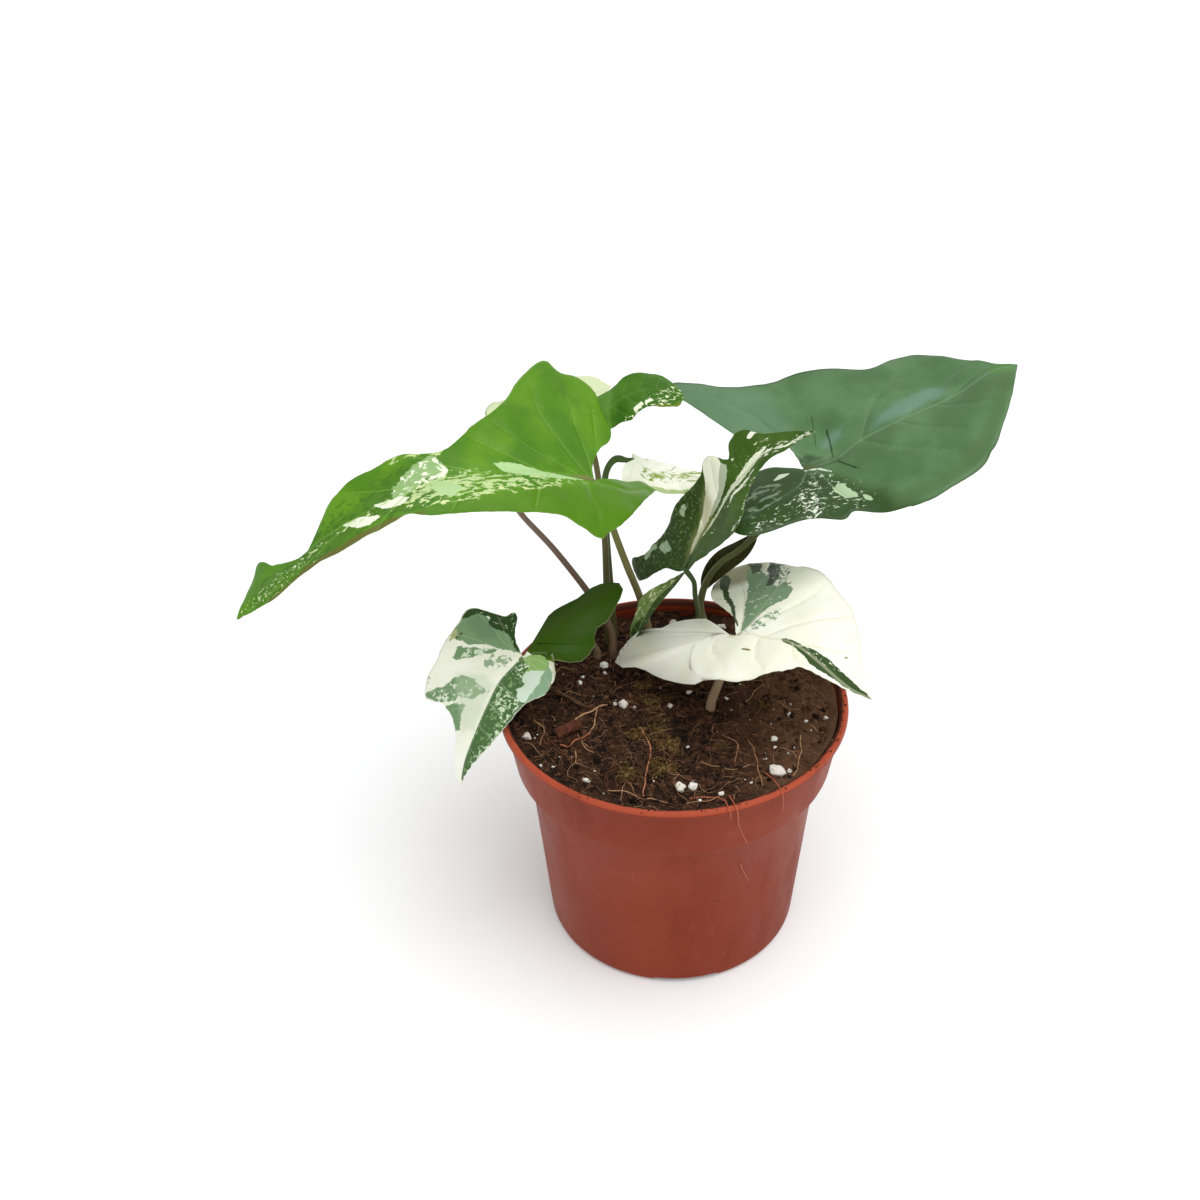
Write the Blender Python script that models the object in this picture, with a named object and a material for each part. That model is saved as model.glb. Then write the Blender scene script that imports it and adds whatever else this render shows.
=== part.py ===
"""Arrowhead plant (Syngonium podophyllum, variegated) growing in a 12 cm nursery pot.

Frame: origin at the middle of the pot's underside, +Z up, -Y is the front
of the plant, +X its right-hand side.  Blender units are metres; the tables
below are written in millimetres and go through MM.

Each leaf blade is drawn the way a botanist would draw it: the midrib as a
curve in space, the outline as (along the midrib, across from it) pairs for the
left and right half, and then how far each half is folded and curled.
"""
import math

import bmesh
import bpy
from mathutils import Vector

MM = 0.001

# ----------------------------------------------------------------- dimensions
POT_HEIGHT = 94.0          # floor to rim
POT_RIM_RADIUS = 60.0      # outside of the rim lip
POT_LIP_HEIGHT = 3.0
POT_BAND_TOP_RADIUS = 58.3
POT_BAND_RADIUS = 55.3     # bottom edge of the flared band
POT_BAND_HEIGHT = 71.6     # height of that bottom edge
POT_BODY_TOP_RADIUS = 51.0
POT_BODY_FOOT_RADIUS = 45.2
POT_BASE_RADIUS = 43.6
POT_WALL = 1.2
POT_FLOOR = 1.6
POT_SIDES = 56

NOTCH_WIDTH = 23.0         # drainage notches round the foot
NOTCH_HEIGHT = 2.2
NOTCH_DEPTH = 7.0
NOTCH_COUNT = 4
NOTCH_START_DEG = -86.0

SOIL_LEVEL = 89.4          # at the middle of the pot
SOIL_SLOPE = -0.03         # the soil is a little lower at the back
SOIL_GAP = 0.4             # between soil and pot

GAP = 0.3                  # between touching pieces
STALK_SINK = 9.0           # how deep a leaf stalk stands in the soil
BLADE_THICKNESS = 0.8

TERRACOTTA = (0.30, 0.055, 0.028, 1)
SOIL_BROWN = (0.035, 0.018, 0.010, 1)
STALK_OLIVE = (0.11, 0.13, 0.04, 1)
STALK_BROWN = (0.16, 0.10, 0.06, 1)
STALK_BEIGE = (0.42, 0.33, 0.21, 1)

# Leaf blades.  rib: midrib from the stalk to the tip.  left/right: outline
# pairs (along, across) from the notch at the stalk round the basal lobe to
# the tip.  fold: degrees above the horizontal of each half near the midrib, at
# the lobes, the stalk, half way and the tip.  curl: further bend, in degrees,
# gained over 0.4 of the blade length.  lobes: rise of the lobes backwards.
LEAVES = {
    "leaf_lime_left": dict(
        rib=[(-25, 14, 172), (-37, 7, 179), (-48, 0, 184), (-69, -10, 188),
             (-84, -16, 186), (-99, -21, 179), (-115, -25, 166), (-136, -28, 150)],
        left=[(-17, -5), (-34, -13), (-36, -11), (-18, 6), (-7, 16), (2, 22),
              (7, 24), (24, 18), (60, 12), (69, 8), (76, 8), (92, 6), (106, 2), (122, 2)],
        right=[(-1, 6), (-6, 13), (-12, 18), (-14, 23), (-13, 28), (-10, 36), (-5, 41),
               (3, 42), (8, 45), (12, 43), (18, 36), (26, 27), (40, 18), (52, 10), (67, 13),
               (87, 12), (104, 4), (116, 9), (123, 15)],
        fold_left=(-10, -10, -20, -25), fold_right=(30, 30, 25, 10),
        curl_left=(-80, -80, -50, 0), curl_right=(10, 10, 0, 0), lobes=(-15, 0),
        colour=(0.09, 0.27, 0.02, 1)),
    "leaf_dark_right": dict(
        rib=[(47, 40, 159), (58, 43, 161), (66, 46, 166), (79, 50, 171),
             (99, 56, 177), (112, 60, 184), (122, 63, 185)],
        left=[(-1, 14), (-9, 19), (-15, 25), (-20, 36), (-24, 46), (-27, 53), (-26, 60),
              (-18, 56), (-3, 47), (17, 44), (27, 40), (41, 31), (51, 32), (61, 27), (69, 16),
              (76, 6)],
        right=[(-11, -8), (-19, -6), (-32, 10), (-34, 17), (-28, 23), (-9, 24), (1, 29),
               (6, 27), (15, 34), (27, 39), (46, 38), (55, 32), (64, 24), (73, 15)],
        fold_left=(14, 14, 8, 0), fold_right=(0, 0, 0, 0),
        curl_left=(0, 0, 0, 0), curl_right=(-20, -20, -10, 0), lobes=(0, 0),
        colour=(0.06, 0.16, 0.06, 1)),
    "leaf_hump_back": dict(
        rib=[(-27, 46, 176), (-20, 48, 180), (-13, 50, 184), (-5, 52, 185),
             (6, 55, 181)],
        left=[(0, 6), (1, 13), (4, 13), (8, 10), (14, 9), (19, 11), (25, 12),
              (31, 12), (35, 9), (37, 4)],
        right=[(-3, 1), (-2, 6), (2, 7), (8, 7), (13, 8), (19, 7), (26, 7),
               (32, 7), (35, 5), (37, 2)],
        fold_left=(5, 5, 5, 5), fold_right=(-35, -35, -35, -20),
        curl_left=(-10, -10, -10, 0), curl_right=(0, 0, 0, 0), lobes=(0, 0),
        colour=(0.07, 0.20, 0.02, 1)),
    "leaf_pale_back": dict(
        rib=[(-53, 54, 151), (-48, 60, 157), (-40, 68, 164), (-29, 77, 170),
             (-18, 84, 171)],
        left=[(-2, 3), (1, 10), (8, 18), (15, 25), (19, 26), (23, 22), (38, 12),
              (44, 11), (49, 8)],
        right=[(-2, 4), (0, 11), (8, 15), (17, 13), (27, 10), (35, 10), (45, 6)],
        fold_left=(10, 10, 10, 10), fold_right=(0, 0, 0, 0),
        curl_left=(0, 0, 0, 0), curl_right=(0, 0, 0, 0), lobes=(0, 0),
        colour=(0.62, 0.66, 0.45, 1)),
    "leaf_white_middle": dict(
        rib=[(-11, 49, 160), (-7, 49, 156), (1, 48, 153), (10, 46, 153),
             (16, 45, 153)],
        left=[(-1, 2), (5, 4), (13, 6), (20, 5), (27, 4)],
        right=[(-2, 4), (-2, 9), (2, 11), (6, 8), (16, 6), (21, 6), (26, 4)],
        fold_left=(20, 20, 15, 10), fold_right=(-30, -30, -30, -25),
        curl_left=(0, 0, 0, 0), curl_right=(0, 0, 0, 0), lobes=(0, 0),
        colour=(0.85, 0.86, 0.72, 1)),
    "leaf_variegated_middle": dict(
        rib=[(6, 25, 130), (9, 25, 139), (15, 25, 149), (20, 25, 160),
             (23, 25, 164), (31, 26, 173), (40, 27, 177), (48, 28, 180)],
        left=[(-3, 2), (-7, 9), (-13, 14), (-20, 20), (-16, 27), (-9, 21), (5, 16),
              (17, 17), (28, 15), (33, 17), (36, 15), (40, 9), (44, 13), (49, 13), (53, 8),
              (61, 4)],
        right=[(2, 4), (10, 9), (15, 12), (29, 19), (35, 18), (39, 10), (43, 7), (56, 3)],
        fold_left=(32, 32, 30, 25), fold_right=(-4, -4, -4, -4),
        curl_left=(0, 0, 0, 0), curl_right=(0, 0, 0, 0), lobes=(0, 0),
        colour=(0.05, 0.13, 0.02, 1)),
    "leaf_cream_front": dict(
        rib=[(21, -3, 121), (25, -8, 125), (29, -13, 127), (35, -19, 130),
             (40, -24, 130), (45, -29, 128), (53, -35, 123), (60, -39, 121)],
        left=[(-13, 11), (-35, 20), (-40, 31), (-38, 36), (-31, 40), (-22, 42), (-8, 40),
              (6, 37), (15, 35), (24, 31), (33, 25), (42, 19), (48, 12), (55, 4)],
        right=[(-7, -1), (-26, -8), (-39, -2), (-40, 2), (-48, 6), (-46, 21), (-35, 19),
               (-20, 21), (-1, 22), (1, 20), (14, 19), (30, 10), (35, 5), (49, 1)],
        fold_left=(15, 15, 5, 0), fold_right=(-15, -15, -20, -20),
        curl_left=(0, 0, -10, 0), curl_right=(-20, -20, -20, 0), lobes=(10, 10),
        colour=(0.85, 0.86, 0.70, 1)),
    "leaf_variegated_front": dict(
        rib=[(-51, 3, 110), (-55, -1, 108), (-59, -6, 106), (-63, -12, 101),
             (-67, -17, 94), (-71, -21, 85), (-73, -23, 76)],
        left=[(-7, 0), (-18, -4), (-28, -1), (-37, 1), (-43, 8), (-36, 12), (-28, 14),
              (-23, 13), (-18, 17), (-13, 18), (-10, 17), (-5, 9), (-4, 8), (1, 13),
              (7, 16), (16, 12), (26, 9), (38, 5)],
        right=[(-4, 7), (-11, 13), (-11, 15), (-8, 17), (-5, 27), (-1, 29), (6, 27),
               (14, 25), (20, 26), (28, 25), (29, 21), (28, 16), (35, 8), (48, 3)],
        fold_left=(-10, -10, -10, 0), fold_right=(10, 10, 0, 0),
        curl_left=(0, 0, 0, 0), curl_right=(0, 0, 0, 0), lobes=(0, 0),
        colour=(0.60, 0.66, 0.46, 1)),
    "leaf_young_spear": dict(
        rib=[(-12, 30, 96), (-9, 30, 104), (-5, 31, 112), (1, 32, 118), (7, 33, 124)],
        left=[(-1, 2), (3, 4), (15, 5), (19, 4), (27, 2)],
        right=[(-1, 3), (5, 5), (15, 6), (23, 5), (28, 3)],
        fold_left=(30, 30, 30, 20), fold_right=(15, 15, 15, 20),
        curl_left=(0, 0, 0, 0), curl_right=(0, 0, 0, 0), lobes=(0, 0),
        colour=(0.14, 0.24, 0.05, 1)),
}

# Leaf stalks: the leaf it carries, where it leaves the soil (x, y), the points
# it passes on its way up, the radius at the soil and at the leaf.
STALKS = {
    "stalk_lime_left": dict(
        leaf="leaf_lime_left", foot=(-6, 35), radius=(1.5, 1.1), colour=STALK_OLIVE,
        via=[(-9.5, 38, 108), (-14.5, 32, 127), (-19, 26, 145.5), (-22.5, 20, 162)]),
    "stalk_dark_right": dict(
        leaf="leaf_dark_right", foot=(15.5, 38.5), radius=(1.5, 1.1), colour=STALK_OLIVE,
        via=[(12.5, 41.5, 100), (13, 42, 108), (15.5, 41, 116), (20, 39, 123.5),
             (27, 38, 130), (38, 37, 145)]),
    "stalk_hump_back": dict(
        leaf="leaf_hump_back", foot=(-21.5, 39), radius=(1.4, 1.0), colour=STALK_BROWN,
        via=[(-21.7, 41.5, 106.5), (-22, 43.5, 133), (-24, 45.3, 158), (-26.5, 46, 170)]),
    "stalk_pale_back": dict(
        leaf="leaf_pale_back", foot=(-20, 30), radius=(1.4, 1.0), colour=STALK_BROWN,
        via=[(-20.5, 34, 98), (-27.5, 40, 109), (-40, 45, 126), (-52, 49, 140), (-54, 51.5, 147)]),
    "stalk_white_middle": dict(
        leaf="leaf_white_middle", foot=(-19.8, 44), radius=(1.7, 1.1), colour=STALK_BROWN,
        via=[(-20.4, 46.5, 106.5), (-21.4, 48.8, 130), (-21.5, 50.6, 148), (-20.5, 51, 155),
             (-17.5, 52, 158.5), (-13.5, 51, 158.5)]),
    "stalk_variegated_middle": dict(
        leaf="leaf_variegated_middle", foot=(10.5, 33), radius=(1.2, 0.8), colour=STALK_OLIVE,
        via=[(11, 34, 104), (9.5, 30.5, 114.5), (8.6, 27, 123)]),
    "stalk_cream_front": dict(
        leaf="leaf_cream_front", foot=(13, -2), radius=(1.9, 1.1), colour=STALK_BEIGE,
        via=[(15, -2, 99), (18, -2.5, 110)]),
    "stalk_variegated_front": dict(
        leaf="leaf_variegated_front", foot=(-26, 31), radius=(1.2, 0.9), colour=STALK_OLIVE,
        via=[(-30, 27, 99), (-38, 18, 103.5), (-46, 10, 104.5)]),
    "stalk_young_spear": dict(
        leaf="leaf_young_spear", foot=(-13, 29.5), radius=(1.3, 0.9), colour=STALK_OLIVE,
        via=[(-12.8, 29.7, 92)]),
}

BARK_CHIP = dict(at=(-36.5, -14.5), size=(9.0, 4.5, 2.6), turn=35)
OLD_STICK = dict(ends=((-45, 10.5), (-30.5, -1)), radius=0.9)


# -------------------------------------------------------------------- helpers
def clear_scene():
    for obj in list(bpy.data.objects):
        bpy.data.objects.remove(obj, do_unlink=True)


def material(name, colour, roughness, metallic=0.0):
    mat = bpy.data.materials.new(name)
    mat.use_nodes = True
    bsdf = mat.node_tree.nodes["Principled BSDF"]
    bsdf.inputs["Base Color"].default_value = colour
    bsdf.inputs["Roughness"].default_value = roughness
    bsdf.inputs["Metallic"].default_value = metallic
    return mat


def add_object(name, mesh, mat, smooth=True):
    obj = bpy.data.objects.new(name, mesh)
    bpy.context.scene.collection.objects.link(obj)
    mesh.materials.append(mat)
    if smooth:
        mesh.shade_smooth()
        mesh.set_sharp_from_angle(angle=math.radians(40))
    return obj


def catmull(points, per):
    """Smooth curve through the points, `per` steps between neighbours."""
    pts = [Vector(p) for p in points]
    pts = [2 * pts[0] - pts[1]] + pts + [2 * pts[-1] - pts[-2]]
    out = []
    for i in range(1, len(pts) - 2):
        a, b, c, d = pts[i - 1:i + 3]
        for k in range(per):
            t = k / per
            out.append(0.5 * (2 * b + (c - a) * t + (2 * a - 5 * b + 4 * c - d) * t * t
                              + (3 * b - a - 3 * c + d) * t ** 3))
    out.append(pts[-2])
    return out


def resample(points, count):
    """`count` points at even spacing along a polyline."""
    lengths = [0.0]
    for a, b in zip(points, points[1:]):
        lengths.append(lengths[-1] + (b - a).length)
    out, j = [], 0
    for i in range(count):
        s = lengths[-1] * i / (count - 1)
        while j < len(points) - 2 and lengths[j + 1] < s:
            j += 1
        step = lengths[j + 1] - lengths[j]
        f = min(1.0, (s - lengths[j]) / step) if step else 0.0
        out.append(points[j].lerp(points[j + 1], f))
    return out, lengths[-1]


def blend(x, xs, ys):
    """Smooth interpolation with no overshoot."""
    x = min(max(x, xs[0]), xs[-1])
    slopes = [(ys[i + 1] - ys[i]) / (xs[i + 1] - xs[i]) for i in range(len(xs) - 1)]
    tang = [slopes[0]]
    for a, b in zip(slopes, slopes[1:]):
        tang.append(0.0 if a * b <= 0 else 2 * a * b / (a + b))
    tang.append(slopes[-1])
    i = 0
    while i < len(xs) - 2 and x > xs[i + 1]:
        i += 1
    h = xs[i + 1] - xs[i]
    t = (x - xs[i]) / h
    return ((2 * t ** 3 - 3 * t ** 2 + 1) * ys[i] + (t ** 3 - 2 * t ** 2 + t) * h * tang[i]
            + (-2 * t ** 3 + 3 * t ** 2) * ys[i + 1] + (t ** 3 - t ** 2) * h * tang[i + 1])


class Blade:
    """A leaf blade: maps (along, across, side) in millimetres to a point in space."""

    STEPS = 121

    def __init__(self, rib, fold_left, fold_right, curl_left, curl_right, lobes):
        self.rib, self.length = resample(catmull(rib, 24), self.STEPS)
        self.folds = (fold_left, fold_right)
        self.curls = (curl_left, curl_right)
        self.lobes = lobes

    def spine(self, along):
        f = min(max(along, 0.0), self.length) / self.length * (self.STEPS - 1)
        i = min(int(f), self.STEPS - 2)
        here = self.rib[i].lerp(self.rib[i + 1], f - i)
        a, b = max(i - 1, 0), min(i + 2, self.STEPS - 1)
        tangent = (self.rib[b] - self.rib[a]).normalized()
        return here, tangent

    def point(self, along, across, side):
        here, tangent = self.spine(along)
        sideways = Vector((0, 0, 1)).cross(tangent).normalized()
        normal = tangent.cross(sideways)
        if along < 0:
            rate = math.radians(self.lobes[side]) / (0.4 * self.length)
            turn = rate * -along
            if abs(rate) > 1e-9:
                back, rise = math.sin(turn) / rate, (1 - math.cos(turn)) / rate
            else:
                back, rise = -along, 0.0
            here = here - tangent * back + normal * rise
            normal = normal * math.cos(turn) + tangent * math.sin(turn)
        stations = [-0.4 * self.length, 0.0, 0.5 * self.length, self.length]
        start = math.radians(blend(along, stations, self.folds[side]))
        bend = math.radians(blend(along, stations, self.curls[side])) / (0.4 * self.length)
        if abs(bend) < 1e-6:
            bend = 1e-6
        end = start + bend * across
        out = (math.sin(end) - math.sin(start)) / bend
        up = (math.cos(start) - math.cos(end)) / bend
        sign = 1.0 if side == 0 else -1.0
        return here + sideways * (sign * out) + normal * up

    def normal_at_stalk(self):
        a = self.point(0.0, 0.0, 0)
        left = self.point(1.0, 2.0, 0) - a
        right = self.point(1.0, 2.0, 1) - a
        return right.cross(left).normalized()


def vein_rows(outline, length, fan, stations, across):
    """Rows running from the midrib to the edge, the way side veins do.

    Returns (station on the midrib, points along the row) pairs.  The first
    rows spread from the stalk into the basal lobe: the very first one follows
    the edge of the notch, and the next ones take over less and less of its
    change of bearing.  The other rows start along the midrib.
    """
    edge = catmull([(0, 0, 0)] + [(a, c, 0) for a, c in outline] + [(length, 0, 0)], 16)
    run = [0.0]
    for p, q in zip(edge, edge[1:]):
        run.append(run[-1] + (q - p).length)
    feet, high = [], 0.0
    for p, s in zip(edge, run):
        high = max(high, p.x - 0.55 * abs(p.y))
        feet.append(high + 0.02 * s * (high > 0))
    feet = [f / feet[-1] * length for f in feet]
    last = max(i for i, f in enumerate(feet) if f <= 0.0)

    def on_edge(s):
        j = 0
        while j < len(run) - 2 and run[j + 1] < s:
            j += 1
        f = (s - run[j]) / (run[j + 1] - run[j])
        return edge[j].lerp(edge[j + 1], min(max(f, 0.0), 1.0))

    def bearing(p):
        return math.atan2(p.y, p.x) % (2 * math.pi)

    turn = max(last, 1)
    while turn > 1 and bearing(edge[turn - 1]) >= bearing(edge[turn]) - 1e-4:
        turn -= 1
    begin = min(max(run[turn], 0.75 * run[16]), max(run[last] - 1.0, 0.6 * run[last]))
    fan = max(1, min(fan, int((run[last] - begin) / 3.0) + 1))
    shares = [(j + 1) / across for j in range(across)]
    notch = [on_edge(w * begin) for w in shares]
    first, final = bearing(on_edge(begin)), bearing(on_edge(run[last]))
    rows = []
    for k in range(fan):
        end = on_edge(begin + (run[last] - begin) * (k / (fan - 1) if fan > 1 else 1.0))
        part = (bearing(end) - final) / (first - final) if first > final + 1e-6 else 0.0
        row = []
        for w, p in zip(shares, notch):
            turned_to = final + (bearing(p) - final) * part
            row.append(Vector((math.cos(turned_to), math.sin(turned_to), 0)) * end.length * w)
        rows.append((0, notch if k == 0 and fan > 1 else row))
    for k in range(1, stations):
        foot = length * k / stations
        j = last
        while j < len(feet) - 2 and feet[j + 1] < foot:
            j += 1
        f = (foot - feet[j]) / (feet[j + 1] - feet[j])
        end = edge[j].lerp(edge[j + 1], min(max(f, 0.0), 1.0))
        rows.append((k, [Vector((foot * (1 - w) + end.x * w, end.y * w, 0)) for w in shares]))
    return rows


def blade_mesh(name, spec, fan=7):
    blade = Blade(spec["rib"], spec["fold_left"], spec["fold_right"],
                  spec["curl_left"], spec["curl_right"], spec["lobes"])
    stations = max(7, min(13, int(blade.length / 4.5)))
    across = 4 if max(c for a, c in spec["left"] + spec["right"]) > 12 else 2
    bm = bmesh.new()
    stalk = bm.verts.new(blade.point(0, 0, 0) * MM)
    tip = bm.verts.new(blade.point(blade.length, 0, 0) * MM)
    ribs = [stalk] + [bm.verts.new(blade.point(blade.length * k / stations, 0, 0) * MM)
                      for k in range(1, stations)]
    for side, outline in enumerate((spec["left"], spec["right"])):
        grid = []
        for station, row in vein_rows(outline, blade.length, fan, stations, across):
            grid.append([ribs[station]] + [bm.verts.new(blade.point(p.x, p.y, side) * MM)
                                           for p in row])
        grid.append([tip] * (across + 1))
        for a, b in zip(grid, grid[1:]):
            for j in range(across):
                corners = []
                for v in (a[j], b[j], b[j + 1], a[j + 1]):
                    if v not in corners:
                        corners.append(v)
                if side:
                    corners.reverse()
                bm.faces.new(corners)
    mesh = bpy.data.meshes.new(name)
    bm.to_mesh(mesh)
    bm.free()
    return mesh, blade


def turned(name, profile, sides):
    """Closed solid of revolution from an (r, z) profile that starts and ends on the axis."""
    bm = bmesh.new()
    verts = [bm.verts.new((r * MM, 0, z * MM)) for r, z in profile]
    edges = [bm.edges.new(pair) for pair in zip(verts, verts[1:])]
    bmesh.ops.spin(bm, geom=verts + edges, cent=(0, 0, 0), axis=(0, 0, 1),
                   angle=2 * math.pi, steps=sides, use_merge=False, use_duplicate=False)
    bmesh.ops.remove_doubles(bm, verts=bm.verts, dist=0.00001)
    bmesh.ops.recalc_face_normals(bm, faces=bm.faces)
    mesh = bpy.data.meshes.new(name)
    bm.to_mesh(mesh)
    bm.free()
    return mesh


def tube(name, points, radii, mat, sides_resolution=2):
    """A tapering stalk along a smooth path, closed at both ends."""
    curve = bpy.data.curves.new(name, "CURVE")
    curve.dimensions = "3D"
    curve.bevel_depth = MM
    curve.bevel_resolution = sides_resolution
    curve.use_fill_caps = True
    spline = curve.splines.new("POLY")
    spline.points.add(len(points) - 1)
    for k, p in enumerate(points):
        f = k / (len(points) - 1)
        spline.points[k].co = (p.x * MM, p.y * MM, p.z * MM, 1)
        spline.points[k].radius = radii[0] + (radii[1] - radii[0]) * f
    curve.materials.append(mat)
    obj = bpy.data.objects.new(name, curve)
    bpy.context.scene.collection.objects.link(obj)
    return obj


def cutter(obj):
    obj.hide_render = True
    obj.display_type = "WIRE"
    return obj


def cut(obj, tool):
    mod = obj.modifiers.new("cut_" + tool.name, "BOOLEAN")
    mod.operation = "DIFFERENCE"
    mod.solver = "EXACT"
    mod.object = tool


def cylinder_cutter(name, x, y, z0, z1, radius, sides=12):
    bm = bmesh.new()
    bmesh.ops.create_cone(bm, cap_ends=True, segments=sides, radius1=radius * MM,
                          radius2=radius * MM, depth=(z1 - z0) * MM)
    mesh = bpy.data.meshes.new(name)
    bm.to_mesh(mesh)
    bm.free()
    obj = bpy.data.objects.new(name, mesh)
    bpy.context.scene.collection.objects.link(obj)
    obj.location = (x * MM, y * MM, (z0 + z1) / 2 * MM)
    return cutter(obj)


def soil_top(x, y):
    """Height of the soil surface: a gentle slope with low mounds."""
    r = math.hypot(x, y)
    mounds = (0.7 * math.sin(x / 9.0 + 0.6) * math.cos(y / 11.0 - 0.4)
              + 0.4 * math.sin(x / 5.0 - y / 6.0))
    fade = min(1.0, max(0.0, (54.0 - r) / 10.0))
    return SOIL_LEVEL + SOIL_SLOPE * y + mounds * fade


# --------------------------------------------------------------------- pieces
def make_pot():
    mat = material("pot_plastic", TERRACOTTA, 0.5)
    inner_band = POT_BAND_RADIUS - POT_WALL
    profile = [
        (0, 0), (POT_BASE_RADIUS, 0), (POT_BASE_RADIUS + 0.9, 0.6), (POT_BODY_FOOT_RADIUS, 2.2),
        (POT_BODY_TOP_RADIUS, POT_BAND_HEIGHT - 0.8), (POT_BAND_RADIUS - 1.4, POT_BAND_HEIGHT - 0.6),
        (POT_BAND_RADIUS, POT_BAND_HEIGHT + 0.6),
        (POT_BAND_TOP_RADIUS, POT_HEIGHT - POT_LIP_HEIGHT),
        (POT_RIM_RADIUS - 0.3, POT_HEIGHT - POT_LIP_HEIGHT + 0.2),
        (POT_RIM_RADIUS, POT_HEIGHT - 1.4), (POT_RIM_RADIUS - 0.5, POT_HEIGHT - 0.2),
        (POT_RIM_RADIUS - 1.4, POT_HEIGHT), (POT_BAND_TOP_RADIUS - POT_WALL, POT_HEIGHT - 1.0),
        (inner_band, POT_BAND_HEIGHT + 0.9), (POT_BODY_TOP_RADIUS - POT_WALL, POT_BAND_HEIGHT - 1.4),
        (POT_BODY_FOOT_RADIUS - POT_WALL, POT_FLOOR + 0.6),
        (POT_BODY_FOOT_RADIUS - POT_WALL - 0.8, POT_FLOOR), (0, POT_FLOOR)]
    pot = add_object("pot", turned("pot", profile, POT_SIDES), mat)
    for k in range(NOTCH_COUNT):
        angle = math.radians(NOTCH_START_DEG + 360.0 / NOTCH_COUNT * k)
        bm = bmesh.new()
        bmesh.ops.create_cube(bm, size=1.0)
        bmesh.ops.scale(bm, vec=(NOTCH_DEPTH * MM, NOTCH_WIDTH * MM, 2 * NOTCH_HEIGHT * MM),
                        verts=bm.verts)
        mesh = bpy.data.meshes.new("notch_cutter_%d" % k)
        bm.to_mesh(mesh)
        bm.free()
        tool = bpy.data.objects.new(mesh.name, mesh)
        bpy.context.scene.collection.objects.link(tool)
        r = POT_BODY_FOOT_RADIUS - 5.5 + NOTCH_DEPTH / 2
        tool.location = (r * MM * math.cos(angle), r * MM * math.sin(angle), 0)
        tool.rotation_euler = (0, 0, angle)
        cut(pot, cutter(tool))
    return pot


def make_soil():
    mat = material("potting_mix", SOIL_BROWN, 0.95)
    rings, around = 9, POT_SIDES
    wall = POT_WALL + SOIL_GAP
    side = [(POT_BAND_RADIUS - wall + 0.95, 80.0), (POT_BAND_RADIUS - wall - 0.1, POT_BAND_HEIGHT + 1.0),
            (POT_BODY_TOP_RADIUS - wall - 0.1, POT_BAND_HEIGHT - 1.1),
            (POT_BODY_FOOT_RADIUS - wall - 0.1, POT_FLOOR + 1.2),
            (POT_BODY_FOOT_RADIUS - wall - 1.0, POT_FLOOR + SOIL_GAP)]
    top_radius = POT_BAND_TOP_RADIUS - wall - 0.9
    bm = bmesh.new()
    centre = bm.verts.new((0, 0, soil_top(0, 0) * MM))
    loops = []
    for i in range(1, rings + 1):
        r = top_radius * i / rings
        loop = []
        for k in range(around):
            a = 2 * math.pi * k / around
            x, y = r * math.cos(a), r * math.sin(a)
            loop.append(bm.verts.new((x * MM, y * MM, soil_top(x, y) * MM)))
        loops.append(loop)
    for r, z in side:
        loops.append([bm.verts.new((r * MM * math.cos(2 * math.pi * k / around),
                                    r * MM * math.sin(2 * math.pi * k / around), z * MM))
                      for k in range(around)])
    for k in range(around):
        bm.faces.new((centre, loops[0][k], loops[0][(k + 1) % around]))
    for a, b in zip(loops, loops[1:]):
        for k in range(around):
            bm.faces.new((a[k], b[k], b[(k + 1) % around], a[(k + 1) % around]))
    bm.faces.new(list(reversed(loops[-1])))
    mesh = bpy.data.meshes.new("potting_mix")
    bm.to_mesh(mesh)
    bm.free()
    soil = add_object("potting_mix", mesh, mat)
    for name, spec in STALKS.items():
        x, y = spec["foot"]
        cut(soil, cylinder_cutter("hole_" + name, x, y, SOIL_LEVEL - STALK_SINK - 1.0, 110.0,
                                  spec["radius"][0] + 2 * GAP))
    return soil


def make_leaves():
    blades = {}
    for name, spec in LEAVES.items():
        mesh, blade = blade_mesh(name, spec)
        obj = add_object(name, mesh, material(name, spec["colour"], 0.42))
        mod = obj.modifiers.new("thickness", "SOLIDIFY")
        mod.thickness = BLADE_THICKNESS * MM
        mod.offset = 0.0
        blades[name] = blade
    return blades


def make_stalks(blades):
    for name, spec in STALKS.items():
        x, y = spec["foot"]
        blade = blades[spec["leaf"]]
        joint = blade.point(0, 0, 0)
        down = -blade.normal_at_stalk()
        if down.z > 0:
            down = -down
        end = joint + down * (BLADE_THICKNESS + 2 * GAP + spec["radius"][1])
        path = [(x, y, SOIL_LEVEL - STALK_SINK), (x, y, SOIL_LEVEL - STALK_SINK / 2),
                (x, y, SOIL_LEVEL + 2.0)] + spec["via"] + [tuple(end)]
        points, length = resample(catmull(path, 8), 26)
        tube(name, points, spec["radius"], material(name, spec["colour"], 0.5))


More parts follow.
